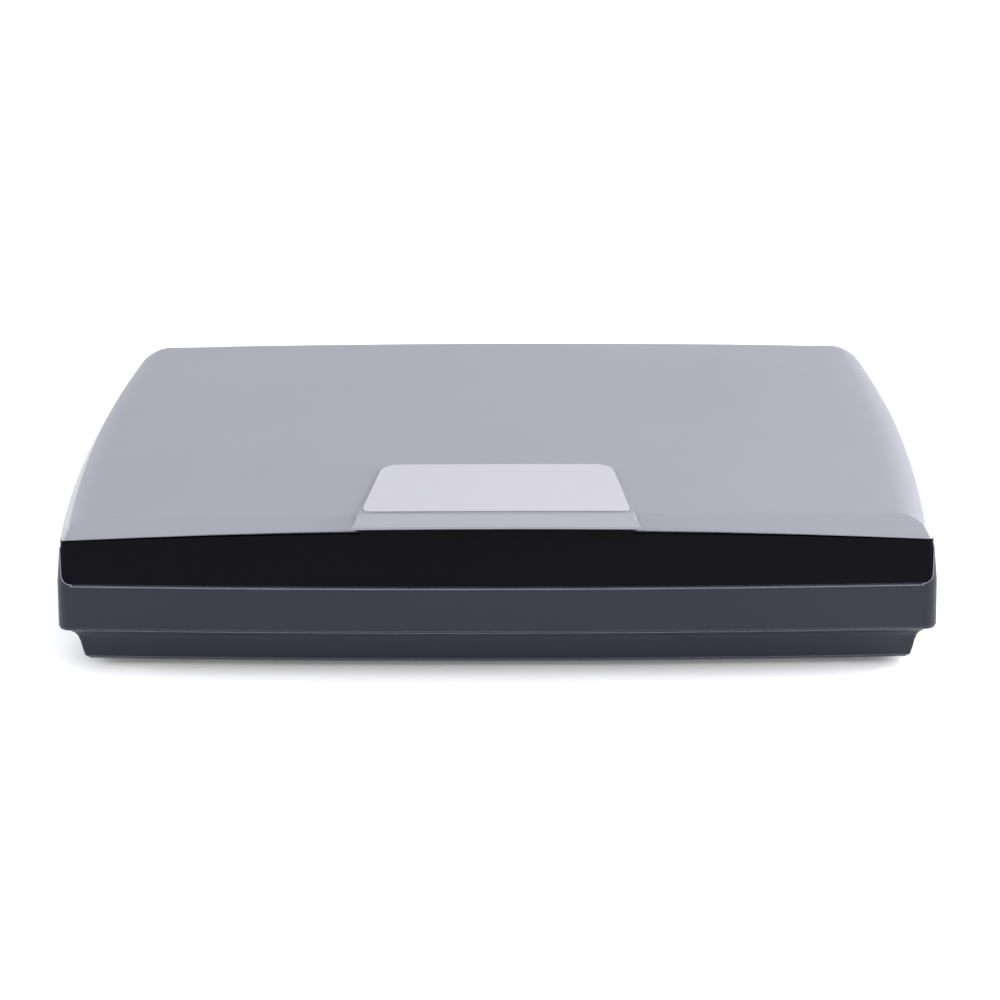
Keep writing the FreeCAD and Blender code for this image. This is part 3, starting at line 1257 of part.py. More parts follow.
def belt_loop(x0, x1, y, radius, z, height):
    a = Vector(x0, y - radius, z)
    b = Vector(x1, y - radius, z)
    c = Vector(x1, y + radius, z)
    d = Vector(x0, y + radius, z)
    edges = [Part.makeLine(a, b), arc(b, Vector(x1 + radius, y, z), c)]
    edges.append(Part.makeLine(c, d))
    edges.append(arc(d, Vector(x0 - radius, y, z), a))
    return prism(Part.Wire(edges), height)


# ---- electrics ----
def make_electrics():
    x = board_x()
    z1 = BOARD_Z + BOARD_T
    board = box(x - BOARD_W / 2, x + BOARD_W / 2 - BOARD_RIGHT_IN, board_y0(), board_y1(), BOARD_Z, z1)
    left = box(jack_x() - BOARD_WING, x - BOARD_W / 2, board_y1() - BOARD_WING_D, board_y1(), BOARD_Z, z1)
    board = board.fuse(left)
    for cx, cy in column_places():
        board = board.cut(rod_z(COLUMN_R + COLUMN_GAP, cx, cy, 0, TALL))
    inside = prism(body_outline(WALL + BOARD_GAP, BOARD_Z - PAST), BOARD_T + 2 * PAST)
    board = board.common(inside)
    screws = []
    for px, py in board_posts():
        board = board.cut(rod_z(SCREW_R + SCREW_CLEAR, px, py, BOARD_Z - PAST, z1 + PAST))
        screws.append(rod_z(SCREW_HEAD_R, px, py, z1, z1 + BOARD_SCREW_H))
    save(board.removeSplitter(), "main_board")
    save(Part.makeCompound(screws), "board_screws")
    chips = []
    for dx, dy, w, d, h in CHIPS:
        cx = x + dx
        cy = board_y0() + dy
        chips.append(box(cx - w / 2, cx + w / 2, cy - d / 2, cy + d / 2, z1, z1 + h))
    save(Part.makeCompound(chips), "board_chips")
    hx, hy = HEADER_PLACE
    header = box(x + hx, x + hx + HEADER_W, board_y0() + hy, board_y0() + hy + HEADER_D, z1, z1 + HEADER_D)
    save(header, "cable_header")

    mouth = BACK - PORT_SINK
    usb = box(usb_x() - PORT_W / 2, usb_x() + PORT_W / 2, mouth - PORT_D, mouth, z1, z1 + PORT_H)
    usb = usb.cut(box(usb_x() - PORT_W / 2 + PORT_WALL, usb_x() + PORT_W / 2 - PORT_WALL,
                      mouth - PORT_HOLE, mouth + PAST, z1 + PORT_WALL, z1 + PORT_H - PORT_WALL))
    middle = z1 + PORT_H / 2
    tongue = box(usb_x() - TONGUE_W / 2, usb_x() + TONGUE_W / 2,
                 mouth - PORT_HOLE - SINK, mouth - TONGUE_SINK,
                 middle - TONGUE_H / 2, middle + TONGUE_H / 2)
    save(usb.fuse(tongue).removeSplitter(), "usb_port")
    jack = box(jack_x() - JACK_W / 2, jack_x() + JACK_W / 2, mouth - JACK_D, mouth, z1, z1 + PORT_H)
    jack = jack.cut(rod_y(JACK_R, jack_x(), mouth - PORT_HOLE, mouth + PAST, middle))
    jack = jack.fuse(rod_y(JACK_PIN_R, jack_x(), mouth - PORT_HOLE - SINK, mouth - TONGUE_SINK, middle))
    save(jack.removeSplitter(), "power_jack")

    make_switch()
    make_flex()


def make_switch():
    """Rocker switch; the rocker's right half stands out and its left half is pressed in."""
    sx = switch_x()
    half_w = SWITCH_W / 2
    low = SWITCH_Z - SWITCH_H / 2
    high = SWITCH_Z + SWITCH_H / 2
    rim = SWITCH_RIM
    frame = box(sx - half_w, sx + half_w, BACK - SWITCH_D, BACK - SWITCH_SINK, low, high)
    frame = frame.cut(box(sx - half_w + rim, sx + half_w - rim, BACK - SWITCH_BAY, BACK,
                          low + rim, high - rim))
    pivot_y = BACK - SWITCH_PIVOT_IN
    frame = frame.fuse(rod_z(SWITCH_PIN_R, sx, pivot_y, low + SWITCH_PIN_END, high - SWITCH_PIN_END))
    save(frame.removeSplitter(), "switch_frame")
    ring = [Vector(sx + px, BACK + py, low + ROCKER_GAP) for px, py in ROCKER_PROFILE]
    rocker = prism(Part.makePolygon(ring + ring[:1]), SWITCH_H - 2 * ROCKER_GAP)
    rocker = rocker.cut(rod_z(SWITCH_PIN_R + PIN_CLEAR, sx, pivot_y, 0, TALL))
    save(rocker, "power_rocker")


def make_flex():
    """Flat cable with one fold: low run on the floor, high run under the head."""
    low = FLOOR_TOP + FLEX_UP
    high = low + 2 * FLEX_FOLD_R
    anchor = board_x() - BOARD_W / 2 - FLEX_ANCHOR
    tail = head_span()[1] - FLEX_TAIL
    fold = head_span()[0] + FLEX_FOLD
    t = FLEX_T
    y0 = FLEX_Y - FLEX_W / 2

    def strip(outer, grow):
        r = outer
        a = Vector(anchor, y0, low - grow)
        b = Vector(fold, y0, low - grow)
        m = Vector(fold - r, y0, low + FLEX_FOLD_R)
        c = Vector(fold, y0, high + grow)
        d = Vector(tail, y0, high + grow)
        return a, b, m, c, d

    a0, b0, m0, c0, d0 = strip(FLEX_FOLD_R + t / 2, t / 2)
    a1, b1, m1, c1, d1 = strip(FLEX_FOLD_R - t / 2, -t / 2)
    edges = [Part.makeLine(a0, b0), arc(b0, m0, c0), Part.makeLine(c0, d0), Part.makeLine(d0, d1)]
    edges.extend([Part.makeLine(d1, c1), arc(c1, m1, b1), Part.makeLine(b1, a1), Part.makeLine(a1, a0)])
    ribbon = Part.Face(Part.Wire(edges)).extrude(Vector(0, FLEX_W, 0))
    save(ribbon, "flex_cable")
    clip = box(tail - CLIP_W, tail, y0 - CLIP_OVER, y0 + FLEX_W + CLIP_OVER, high + t / 2, HEAD_LOW)
    save(clip, "flex_clip")


# ---- feet and screws ----
def make_feet_and_screws():
    feet = []
    for x, y in foot_places():
        foot = rod_z(FOOT_R, x, y, 0.0, BOTTOM + FOOT_SINK)
        rim = [e for e in foot.Edges if e.BoundBox.ZMax < SLIVER and e.BoundBox.XLength > FOOT_R]
        feet.append(foot.makeFillet(FOOT_ROUND, rim))
    save(Part.makeCompound(feet), "rubber_feet")
    screws = []
    for x, y in column_places():
        head = rod_z(SCREW_HEAD_R, x, y, JOIN_Z - COLUMN_HEAD - SCREW_HEAD_H, JOIN_Z - COLUMN_HEAD)
        shank = rod_z(SCREW_R - SCREW_BITE, x, y, JOIN_Z - COLUMN_HEAD, JOIN_Z + CASE_SHANK)
        screws.append(head.fuse(shank).removeSplitter())
    save(Part.makeCompound(screws), "case_screws")


make_bottom_housing()
make_front_band()
make_deck()
make_glass()
make_lid_shell()
make_nameplate()
make_liner()
make_pad()
make_hinges()
make_head()
make_optics()
make_rails()
make_drive()
make_electrics()
make_feet_and_screws()
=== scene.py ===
# %% [markdown]
# # A flatbed scanner
# The housing, the lid and the working parts come in as a fixed frame, in metres, with the
# bottom centre of the scanner at the origin. This lesson gives every piece its finish,
# models the soft and fine pieces that the frame only blocks out, and lights the result.

# %% Load the frame
import math
import bmesh
import bpy
from mathutils import Matrix, Vector


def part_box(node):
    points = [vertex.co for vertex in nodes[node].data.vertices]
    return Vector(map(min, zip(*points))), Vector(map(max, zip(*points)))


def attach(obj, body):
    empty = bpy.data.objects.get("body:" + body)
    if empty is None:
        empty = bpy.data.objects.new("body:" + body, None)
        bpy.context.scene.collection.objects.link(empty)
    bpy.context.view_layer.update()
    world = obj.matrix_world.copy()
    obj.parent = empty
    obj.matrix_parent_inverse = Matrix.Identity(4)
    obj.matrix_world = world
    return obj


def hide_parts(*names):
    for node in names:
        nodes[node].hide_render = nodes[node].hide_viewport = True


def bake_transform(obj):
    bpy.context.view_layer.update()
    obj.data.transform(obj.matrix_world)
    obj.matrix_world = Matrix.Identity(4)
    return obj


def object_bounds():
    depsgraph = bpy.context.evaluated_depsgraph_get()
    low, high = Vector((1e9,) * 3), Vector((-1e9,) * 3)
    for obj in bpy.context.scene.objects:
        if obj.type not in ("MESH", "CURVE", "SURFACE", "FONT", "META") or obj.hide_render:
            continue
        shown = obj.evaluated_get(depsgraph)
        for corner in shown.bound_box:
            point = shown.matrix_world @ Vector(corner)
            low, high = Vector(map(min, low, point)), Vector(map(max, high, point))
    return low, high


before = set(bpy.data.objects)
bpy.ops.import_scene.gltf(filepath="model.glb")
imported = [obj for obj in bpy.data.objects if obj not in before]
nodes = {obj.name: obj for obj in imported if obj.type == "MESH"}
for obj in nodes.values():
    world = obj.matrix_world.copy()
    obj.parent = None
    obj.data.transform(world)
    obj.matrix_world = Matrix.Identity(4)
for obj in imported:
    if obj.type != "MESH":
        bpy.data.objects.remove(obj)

MM = 0.001
cad_low, cad_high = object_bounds()
print("nodes", len(nodes), "size", [round(v, 4) for v in cad_high - cad_low])

# %% [markdown]
# ## Helpers for modelling
# Every operator acts on what is selected, and the frame arrives selected, so each step
# starts from a clean selection. A finished piece keeps its place in its mesh, so its
# object is left at the origin with no turn and no scale.

# %% Selection and finishing helpers
def only(obj):
    bpy.ops.object.select_all(action="DESELECT")
    obj.select_set(True)
    bpy.context.view_layer.objects.active = obj
    return obj


def settle(obj, name):
    """Names a piece and bakes its place into its mesh."""
    only(obj)
    bpy.ops.object.transform_apply(location=True, rotation=True, scale=True)
    obj.name = name
    obj.data.name = name
    return obj


def block(name, low, high):
    """A cuboid between two corners, to be shaped further."""
    bpy.ops.object.select_all(action="DESELECT")
    centre = (Vector(low) + Vector(high)) / 2
    size = Vector(high) - Vector(low)
    bpy.ops.mesh.primitive_cube_add(size=1.0, location=centre, scale=size)
    return settle(bpy.context.active_object, name)


def apply_modifier(obj, kind, **settings):
    only(obj)
    modifier = obj.modifiers.new(kind.title(), kind)
    for key, value in settings.items():
        setattr(modifier, key, value)
    bpy.ops.object.modifier_apply(modifier=modifier.name)
    return obj


def pick_edges(obj, test):
    """Selects in edit mode the edges whose middle and direction pass a test."""
    only(obj)
    bpy.ops.object.mode_set(mode="EDIT")
    bpy.ops.mesh.select_mode(type="EDGE")
    bpy.ops.mesh.select_all(action="DESELECT")
    mesh = bmesh.from_edit_mesh(obj.data)
    count = 0
    for edge in mesh.edges:
        a, b = edge.verts[0].co, edge.verts[1].co
        if test((a + b) / 2, (b - a).normalized()):
            edge.select_set(True)
            count += 1
    bmesh.update_edit_mesh(obj.data)
    return count


def leave_edit():
    bpy.ops.object.mode_set(mode="OBJECT")


def smooth(obj, angle=35.0):
    only(obj)
    bpy.ops.object.shade_smooth_by_angle(angle=math.radians(angle))
    return obj


def join_pieces(pieces, name):
    bpy.ops.object.select_all(action="DESELECT")
    for piece in pieces:
        piece.select_set(True)
    bpy.context.view_layer.objects.active = pieces[0]
    bpy.ops.object.join()
    return settle(bpy.context.active_object, name)


# %% [markdown]
# ## Shared effects for the finishes
# Five effects turn up in many finishes: the fine grain of a moulded surface, an edge that
# is a little rounded, a pale line painted along such an edge as a highlight, a slow drift
# of tone across a large panel, and dust that settles on faces that look up. Each is one
# node group, placed in a material with its own values. These helpers make and wire them.

# %% Node group helpers
def new_group(name, inputs, outputs):
    group = bpy.data.node_groups.new(name, "ShaderNodeTree")
    for label, kind, value in inputs:
        socket = group.interface.new_socket(name=label, in_out="INPUT", socket_type=kind)
        if value is not None:
            socket.default_value = value
    for label, kind in outputs:
        group.interface.new_socket(name=label, in_out="OUTPUT", socket_type=kind)
    group.nodes.new("NodeGroupInput")
    group.nodes.new("NodeGroupOutput")
    return group


def ends(group):
    start = next(n for n in group.nodes if n.type == "GROUP_INPUT")
    stop = next(n for n in group.nodes if n.type == "GROUP_OUTPUT")
    return start.outputs, stop.inputs


def math_node(tree, operation, a, b=None, clamp=False):
    node = tree.nodes.new("ShaderNodeMath")
    node.operation = operation
    node.use_clamp = clamp
    for socket, value in zip(node.inputs, (a, b)):
        if value is None:
            continue
        if isinstance(value, (int, float)):
            socket.default_value = value
        else:
            tree.links.new(value, socket)
    return node.outputs[0]


def noise_node(tree, vector, scale, detail=3.0, roughness=0.5):
    node = tree.nodes.new("ShaderNodeTexNoise")
    node.inputs["Detail"].default_value = detail
    node.inputs["Roughness"].default_value = roughness
    if isinstance(scale, (int, float)):
        node.inputs["Scale"].default_value = scale
    else:
        tree.links.new(scale, node.inputs["Scale"])
    tree.links.new(vector, node.inputs["Vector"])
    return node.outputs["Fac"]


def range_node(tree, value, low, high, to_low=0.0, to_high=1.0):
    node = tree.nodes.new("ShaderNodeMapRange")
    tree.links.new(value, node.inputs["Value"])
    for label, number in (("From Min", low), ("From Max", high), ("To Min", to_low), ("To Max", to_high)):
        node.inputs[label].default_value = number
    return node.outputs["Result"]


# %% [markdown]
# Moulded plastic and sprayed paint both have a grain of tiny cells. A picture of grain
# would show its seams close up, so cells and noise are mixed instead, at any scale.

# %% Moulded grain
grain = new_group("moulded grain",
                  [("Vector", "NodeSocketVector", None), ("Scale", "NodeSocketFloat", 1500.0)],
                  [("Height", "NodeSocketFloat"), ("Speck", "NodeSocketFloat")])
given, result = ends(grain)
cells = grain.nodes.new("ShaderNodeTexVoronoi")
grain.links.new(given["Vector"], cells.inputs["Vector"])
grain.links.new(given["Scale"], cells.inputs["Scale"])
fine = noise_node(grain, given["Vector"], given["Scale"], 2.0, 0.6)
mixed = math_node(grain, "ADD", cells.outputs["Distance"], fine)
grain.links.new(math_node(grain, "MULTIPLY", mixed, 0.5), result["Height"])
grain.links.new(range_node(grain, fine, 0.35, 0.65), result["Speck"])
print("group", grain.name)

# %% [markdown]
# No moulded edge is a knife edge. A Bevel modifier would change the frame's shape, so the
# shading normal is rounded instead, which catches a thin highlight along each edge.

# %% Softened edge
EDGE_RADIUS = 0.5 * MM
EDGE_SAMPLES = 6


def round_normal(group, radius):
    """The surface's normal with its edges rounded off, as a shading normal."""
    rounding = group.nodes.new("ShaderNodeBevel")
    rounding.samples = EDGE_SAMPLES
    group.links.new(radius, rounding.inputs["Radius"])
    return rounding.outputs["Normal"]


soft_edge = new_group("softened edge", [("Radius", "NodeSocketFloat", EDGE_RADIUS)],
                      [("Normal", "NodeSocketVector")])
given, result = ends(soft_edge)
soft_edge.links.new(round_normal(soft_edge, given["Radius"]), result["Normal"])
print("group", soft_edge.name)

# %% [markdown]
# Along the housing's edges a pale line is painted into the colour. It is a painted highlight
# that stands in for the light an edge catches. Where the rounded normal leans away from the
# flat one there is an edge, hollow or outer alike, so how little the two agree gives the mask.

# %% Painted edge highlight
painted_edge_highlight = new_group("painted edge highlight", [("Radius", "NodeSocketFloat", EDGE_RADIUS)],
                        [("Mask", "NodeSocketFloat")])
given, result = ends(painted_edge_highlight)
flat = painted_edge_highlight.nodes.new("ShaderNodeNewGeometry")
likeness = painted_edge_highlight.nodes.new("ShaderNodeVectorMath")
likeness.operation = "DOT_PRODUCT"
painted_edge_highlight.links.new(round_normal(painted_edge_highlight, given["Radius"]), likeness.inputs[0])
painted_edge_highlight.links.new(flat.outputs["Normal"], likeness.inputs[1])
# How far the rounded normal must lean before the painted highlight starts and is full.
NO_HIGHLIGHT_AT, FULL_HIGHLIGHT_AT = 0.99, 0.93
painted_edge_highlight.links.new(range_node(painted_edge_highlight, likeness.outputs["Value"], NO_HIGHLIGHT_AT, FULL_HIGHLIGHT_AT), result["Mask"])
print("group", painted_edge_highlight.name)

# %% [markdown]
# A large panel is never one even colour. Slow, wide noise swings the tone a few percent,
# and the same noise is handed on as a mask, for the roughness to follow.

# %% Tone drift
drift = new_group("tone drift",
                  [("Vector", "NodeSocketVector", None), ("Scale", "NodeSocketFloat", 8.0),
                   ("Amount", "NodeSocketFloat", 0.05)],
                  [("Tone", "NodeSocketFloat"), ("Mask", "NodeSocketFloat")])
given, result = ends(drift)
broad = noise_node(drift, given["Vector"], given["Scale"], 4.0, 0.55)
mask = range_node(drift, broad, 0.3, 0.7)
centred = math_node(drift, "SUBTRACT", mask, 0.5)
swing = math_node(drift, "MULTIPLY", centred, given["Amount"])
drift.links.new(math_node(drift, "ADD", swing, 1.0), result["Tone"])
drift.links.new(mask, result["Mask"])
print("group", drift.name)

# %% [markdown]
# Dust lies on faces that look up and gathers in patches. The normal's upward part and a
# patchy noise are multiplied, so walls and undersides stay clean.

# %% Settled dust
dust = new_group("settled dust",
                 [("Vector", "NodeSocketVector", None), ("Amount", "NodeSocketFloat", 0.1)],
                 [("Mask", "NodeSocketFloat")])
given, result = ends(dust)
shape = dust.nodes.new("ShaderNodeNewGeometry")
apart = dust.nodes.new("ShaderNodeSeparateXYZ")
dust.links.new(shape.outputs["Normal"], apart.inputs[0])
facing_up = range_node(dust, apart.outputs["Z"], 0.5, 1.0)
patches = range_node(dust, noise_node(dust, given["Vector"], 60.0, 6.0, 0.65), 0.45, 0.8)
soft_dust = math_node(dust, "MULTIPLY", facing_up, patches)
dust.links.new(math_node(dust, "MULTIPLY", soft_dust, given["Amount"]), result["Mask"])
print("group", dust.name)


# %% [markdown]
# ## Building a finish
# Each finish is a Principled shader. What is even over the surface is set on the shader's
# own sockets. Colour, roughness and bump vary through the shared groups, which read the
# piece's own object coordinates, so a pattern stays put when a piece moves.

# %% Colour and placing helpers
def linear(red, green, blue):
    """Linear colour from screen values of 0 to 255."""
    def one(v):
        v = v / 255.0
        return v / 12.92 if v <= 0.04045 else ((v + 0.055) / 1.055) ** 2.4
    return (one(red), one(green), one(blue), 1.0)


def placed(tree, group, vector, **values):
    node = tree.nodes.new("ShaderNodeGroup")
    node.node_tree = group
    if vector is not None:
        tree.links.new(vector, node.inputs["Vector"])
    for key, value in values.items():
        node.inputs[key].default_value = value
    return node.outputs


def mix_colour(tree, factor, a, b):
    node = tree.nodes.new("ShaderNodeMix")
    node.data_type = "RGBA"
    tree.links.new(factor, node.inputs["Factor"])
    for label, value in (("A", a), ("B", b)):
        socket = next(s for s in node.inputs if s.name == label and s.type == "RGBA")
        if isinstance(value, tuple):
            socket.default_value = value
        else:
            tree.links.new(value, socket)
    return next(s for s in node.outputs if s.type == "RGBA")


def start_material(name):
    """A new material with its shader and the piece's own object coordinates."""
    material = bpy.data.materials.new(name)
    material.use_nodes = True
    tree = material.node_tree
    tree.nodes.clear()
    out = tree.nodes.new("ShaderNodeOutputMaterial")
    shader = tree.nodes.new("ShaderNodeBsdfPrincipled")
    tree.links.new(shader.outputs["BSDF"], out.inputs["Surface"])
    coords = tree.nodes.new("ShaderNodeTexCoord").outputs["Object"]
    return material, tree, shader, coords


DUST_COLOUR = (0.45, 0.43, 0.40, 1.0)


def finish_material(name, colour, rough, metallic=0.0, grain_scale=1500.0, grain_depth=0.02,
                    tone=0.06, tone_scale=8.0, rough_swing=0.05, speck=0.0, dusty=0.04,
                    specular=0.5, coat=0.0, coat_rough=0.1, edge=0.3, painted_highlight_colour=None):
    """The usual finish: tone drift on the colour, grain as bump, dust on top faces.

    Grain depth and edge radius are in millimetres. A highlight colour, where given, is painted
    along the edges as a painted highlight.
    """
    material, tree, shader, coords = start_material(name)
    shader.inputs["Metallic"].default_value = metallic
    shader.inputs["Specular IOR Level"].default_value = specular
    shader.inputs["Coat Weight"].default_value = coat
    shader.inputs["Coat Roughness"].default_value = coat_rough
    tones = placed(tree, drift, coords, Scale=tone_scale, Amount=tone)
    grains = placed(tree, grain, coords, Scale=grain_scale)
    powder = placed(tree, dust, coords, Amount=dusty)
    scaled = tree.nodes.new("ShaderNodeVectorMath")
    scaled.operation = "SCALE"
    scaled.inputs[0].default_value = colour[:3]
    speckle = math_node(tree, "MULTIPLY", math_node(tree, "SUBTRACT", grains["Speck"], 0.5), speck)
    tree.links.new(math_node(tree, "ADD", tones["Tone"], speckle), scaled.inputs["Scale"])
    surface = mix_colour(tree, powder["Mask"], scaled.outputs[0], DUST_COLOUR)
    # Painted highlight: a pale colour mixed in along the edges, standing in for the light an edge catches.
    if painted_highlight_colour:
        painted_highlight_mask = placed(tree, painted_edge_highlight, None, Radius=edge * MM)
        surface = mix_colour(tree, painted_highlight_mask["Mask"], surface, painted_highlight_colour)
    tree.links.new(surface, shader.inputs["Base Color"])
    swing = math_node(tree, "MULTIPLY", math_node(tree, "SUBTRACT", tones["Mask"], 0.5), rough_swing)
    rougher = math_node(tree, "ADD", math_node(tree, "ADD", swing, rough), powder["Mask"], clamp=True)
    tree.links.new(rougher, shader.inputs["Roughness"])
    bump = tree.nodes.new("ShaderNodeBump")
    bump.inputs["Strength"].default_value = 1.0
    bump.inputs["Distance"].default_value = grain_depth * MM
    if edge:
        rounded = placed(tree, soft_edge, None, Radius=edge * MM)
        tree.links.new(rounded["Normal"], bump.inputs["Normal"])
    tree.links.new(grains["Height"], bump.inputs["Height"])
    tree.links.new(bump.outputs["Normal"], shader.inputs["Normal"])
    return material


# %% [markdown]
# ## The finishes seen from outside
# The lid is sprayed with a silver paint whose flake is too fine to see one by one, but
# which scatters light into a soft sheen. The plate is the same idea, paler and flatter.
# The housing is a bluish grey plastic with a spark-eroded grain, and the band is black
# plastic polished smooth.

# %% Outside finishes
lid_silver = finish_material("lid silver", linear(150, 150, 157), 0.42, metallic=0.4, grain_scale=2600.0,
                             grain_depth=0.006, tone=0.05, tone_scale=5.0, speck=0.06, dusty=0.02, edge=1.0)
plate_silver = finish_material("plate silver", linear(178, 177, 182), 0.5, metallic=0.2, grain_scale=3200.0,
                               grain_depth=0.005, tone=0.03, speck=0.04, dusty=0.02, edge=0.5)
# The housing's edges take a pale painted highlight, standing in for the light its edges and corners catch.
housing_grey = finish_material("housing grey", linear(24, 26, 40), 0.36, grain_scale=1300.0, grain_depth=0.02,
                               tone=0.1, speck=0.08, specular=0.33, edge=0.9,
                               painted_highlight_colour=linear(172, 172, 190))
band_black = finish_material("band black", linear(5, 5, 11), 0.22, grain_scale=1800.0, grain_depth=0.003,
                             tone=0.15, specular=0.06, dusty=0.0, edge=0.4)
deck_black = finish_material("deck black", linear(44, 44, 49), 0.55, grain_scale=1100.0, grain_depth=0.03,
                             tone=0.1, speck=0.08, edge=0.6)
rubber = finish_material("rubber", linear(30, 30, 31), 0.8, grain_scale=900.0, grain_depth=0.04, tone=0.2)
hinge_black = finish_material("hinge black", linear(36, 36, 40), 0.5, grain_scale=1200.0, grain_depth=0.03)
liner_grey = finish_material("liner grey", linear(172, 172, 176), 0.55, grain_scale=1200.0, grain_depth=0.025)
print("outside finishes made")

# %% [markdown]
# ## The finishes of the works
# Steel rod, zinc-plated sheet, bronze, nylon, circuit board and the black plastic of the
# scan head are seen through the glass when the lid is up.

# %% Inside finishes
steel = finish_material("ground steel", (0.56, 0.56, 0.57, 1.0), 0.22, metallic=1.0, grain_scale=900.0,
                        grain_depth=0.004, tone=0.08, dusty=0.0)
zinc = finish_material("zinc plate", (0.52, 0.53, 0.50, 1.0), 0.38, metallic=1.0, grain_scale=260.0,
                       grain_depth=0.006, tone=0.3, tone_scale=90.0, rough_swing=0.2)
dark_steel = finish_material("dark screw steel", (0.10, 0.10, 0.11, 1.0), 0.35, metallic=1.0,
                             grain_scale=900.0, grain_depth=0.008, tone=0.2)
bronze = finish_material("bronze", (0.50, 0.32, 0.16, 1.0), 0.35, metallic=1.0, grain_scale=1200.0,
                         grain_depth=0.01, tone=0.2)
nylon = finish_material("nylon", linear(226, 224, 212), 0.42, grain_scale=900.0, grain_depth=0.01)
head_black = finish_material("head black", linear(34, 34, 36), 0.6, grain_scale=1000.0, grain_depth=0.04)
white_paint = finish_material("white strip", linear(238, 238, 234), 0.6, grain_scale=1500.0,
                              grain_depth=0.004)
tape_black = finish_material("tape", linear(28, 28, 28), 0.7, grain_scale=600.0, grain_depth=0.01)
board_green = finish_material("circuit green", linear(26, 92, 58), 0.28, grain_scale=300.0, grain_depth=0.01,
                              tone=0.3, tone_scale=60.0, coat=0.4)
chip_black = finish_material("chip black", linear(30, 30, 32), 0.45, grain_scale=1500.0, grain_depth=0.01)
cream = finish_material("connector cream", linear(216, 206, 180), 0.45, grain_scale=900.0, grain_depth=0.01)
port_metal = finish_material("port metal", (0.62, 0.62, 0.62, 1.0), 0.25, metallic=1.0, grain_scale=700.0,
                             grain_depth=0.006, tone=0.1)
switch_black = finish_material("switch black", linear(24, 24, 26), 0.3, grain_scale=1400.0, grain_depth=0.01)
reflector = finish_material("reflector foil", (0.86, 0.86, 0.87, 1.0), 0.12, metallic=1.0, grain_scale=500.0,
                            grain_depth=0.004, tone=0.05, dusty=0.0)
mirror = finish_material("mirror", (0.93, 0.93, 0.93, 1.0), 0.02, metallic=1.0, grain_scale=300.0,
                         grain_depth=0.0005, tone=0.02, rough_swing=0.01, dusty=0.0)
lens_black = finish_material("lens black", linear(26, 26, 28), 0.3, metallic=0.4, grain_scale=1500.0,
                             grain_depth=0.01)
lamp_white = finish_material("lamp tube", linear(240, 243, 246), 0.15, grain_scale=400.0, grain_depth=0.002,
                             tone=0.03, dusty=0.0)
print("inside finishes made")


# %% [markdown]
# ## Glass
# The bed is float glass: clear, smooth, faintly green and with a little handling haze in
# its roughness.

# %% Glass finish
def make_glass(name):
    material, tree, shader, coords = start_material(name)
    shader.inputs["Transmission Weight"].default_value = 1.0
    shader.inputs["IOR"].default_value = 1.5
    haze = placed(tree, drift, coords, Scale=14.0, Amount=0.04)
    tint = mix_colour(tree, haze["Mask"], (0.93, 0.97, 0.96, 1.0), (0.96, 0.98, 0.97, 1.0))
    tree.links.new(tint, shader.inputs["Base Color"])
    tree.links.new(range_node(tree, haze["Mask"], 0.0, 1.0, 0.0, 0.035), shader.inputs["Roughness"])
    return material


glass = make_glass("bed glass")


# %% [markdown]
# ## Giving the frame's pieces their finishes
# The frame's shapes are right as they are, so they stay and only take new materials.

# %% Dress the frame
finishes = {
    lid_silver: ["lid_shell"],
    plate_silver: ["nameplate"],
    housing_grey: ["bottom_housing"],
    band_black: ["front_band"],
    deck_black: ["deck_frame"],
    rubber: ["rubber_feet", "lid_bumpers", "drive_belt", "lamp_holders"],
    hinge_black: ["hinge_posts"],
    liner_grey: ["lid_liner"],
    steel: ["guide_rod", "gear_stud", "hinge_pins", "motor_shaft"],
    zinc: ["support_rail", "motor_body", "motor_bracket"],
    dark_steel: ["bracket_screws", "board_screws", "case_screws", "lid_screws"],
    bronze: ["rod_sleeves", "motor_pinion"],
    nylon: ["idler_carrier", "idler_pulley", "drive_gear", "slide_shoe", "flex_clip"],
    head_black: ["head_housing", "head_cover"],
    tape_black: ["glass_tape"],
    board_green: ["main_board", "sensor_board"],
    chip_black: ["board_chips", "power_jack"],
    cream: ["cable_header"],
    port_metal: ["usb_port"],
    switch_black: ["switch_frame", "power_rocker"],
    reflector: ["lamp_reflector"],
    mirror: ["fold_mirrors"],
    lens_black: ["lens_barrel"],
    lamp_white: ["scan_lamp"],
    glass: ["scan_glass"],
    white_paint: ["white_strip", "pad_foam", "pad_sheet", "flex_cable"],
}
for material, names in finishes.items():
    for name in names:
        nodes[name].data.materials.clear()
        nodes[name].data.materials.append(material)
print("dressed", sum(len(names) for names in finishes.values()), "nodes of", len(nodes))

# %% [markdown]
# ## The document pad
# The pad is a slab of foam with a white vinyl sheet over it. The foam is a block with soft
# edges, a little uneven where it was glued. The sheet overlaps it with rounded
# corners, so a pressed edge shows all round.

# %% Foam
FOAM_ROUND = 1.6 * MM
FOAM_CUTS = 10
LUMP_SIZE = 30 * MM
LUMP_DEPTH = 0.4 * MM
foam_low, foam_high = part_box("pad_foam")
pad = block("pad foam", foam_low, foam_high)
apply_modifier(pad, "BEVEL", width=FOAM_ROUND, segments=4, limit_method="ANGLE")
only(pad)
bpy.ops.object.mode_set(mode="EDIT")
bpy.ops.mesh.select_all(action="SELECT")
bpy.ops.mesh.subdivide(number_cuts=FOAM_CUTS)
leave_edit()
lumps = bpy.data.textures.new("foam lumps", "CLOUDS")
lumps.noise_scale = LUMP_SIZE
apply_modifier(pad, "DISPLACE", texture=lumps, strength=LUMP_DEPTH, mid_level=0.9, texture_coords="LOCAL")
smooth(pad, 50)
pad.name = "pad_foam_soft"
print(pad.name, len(pad.data.polygons), "faces")
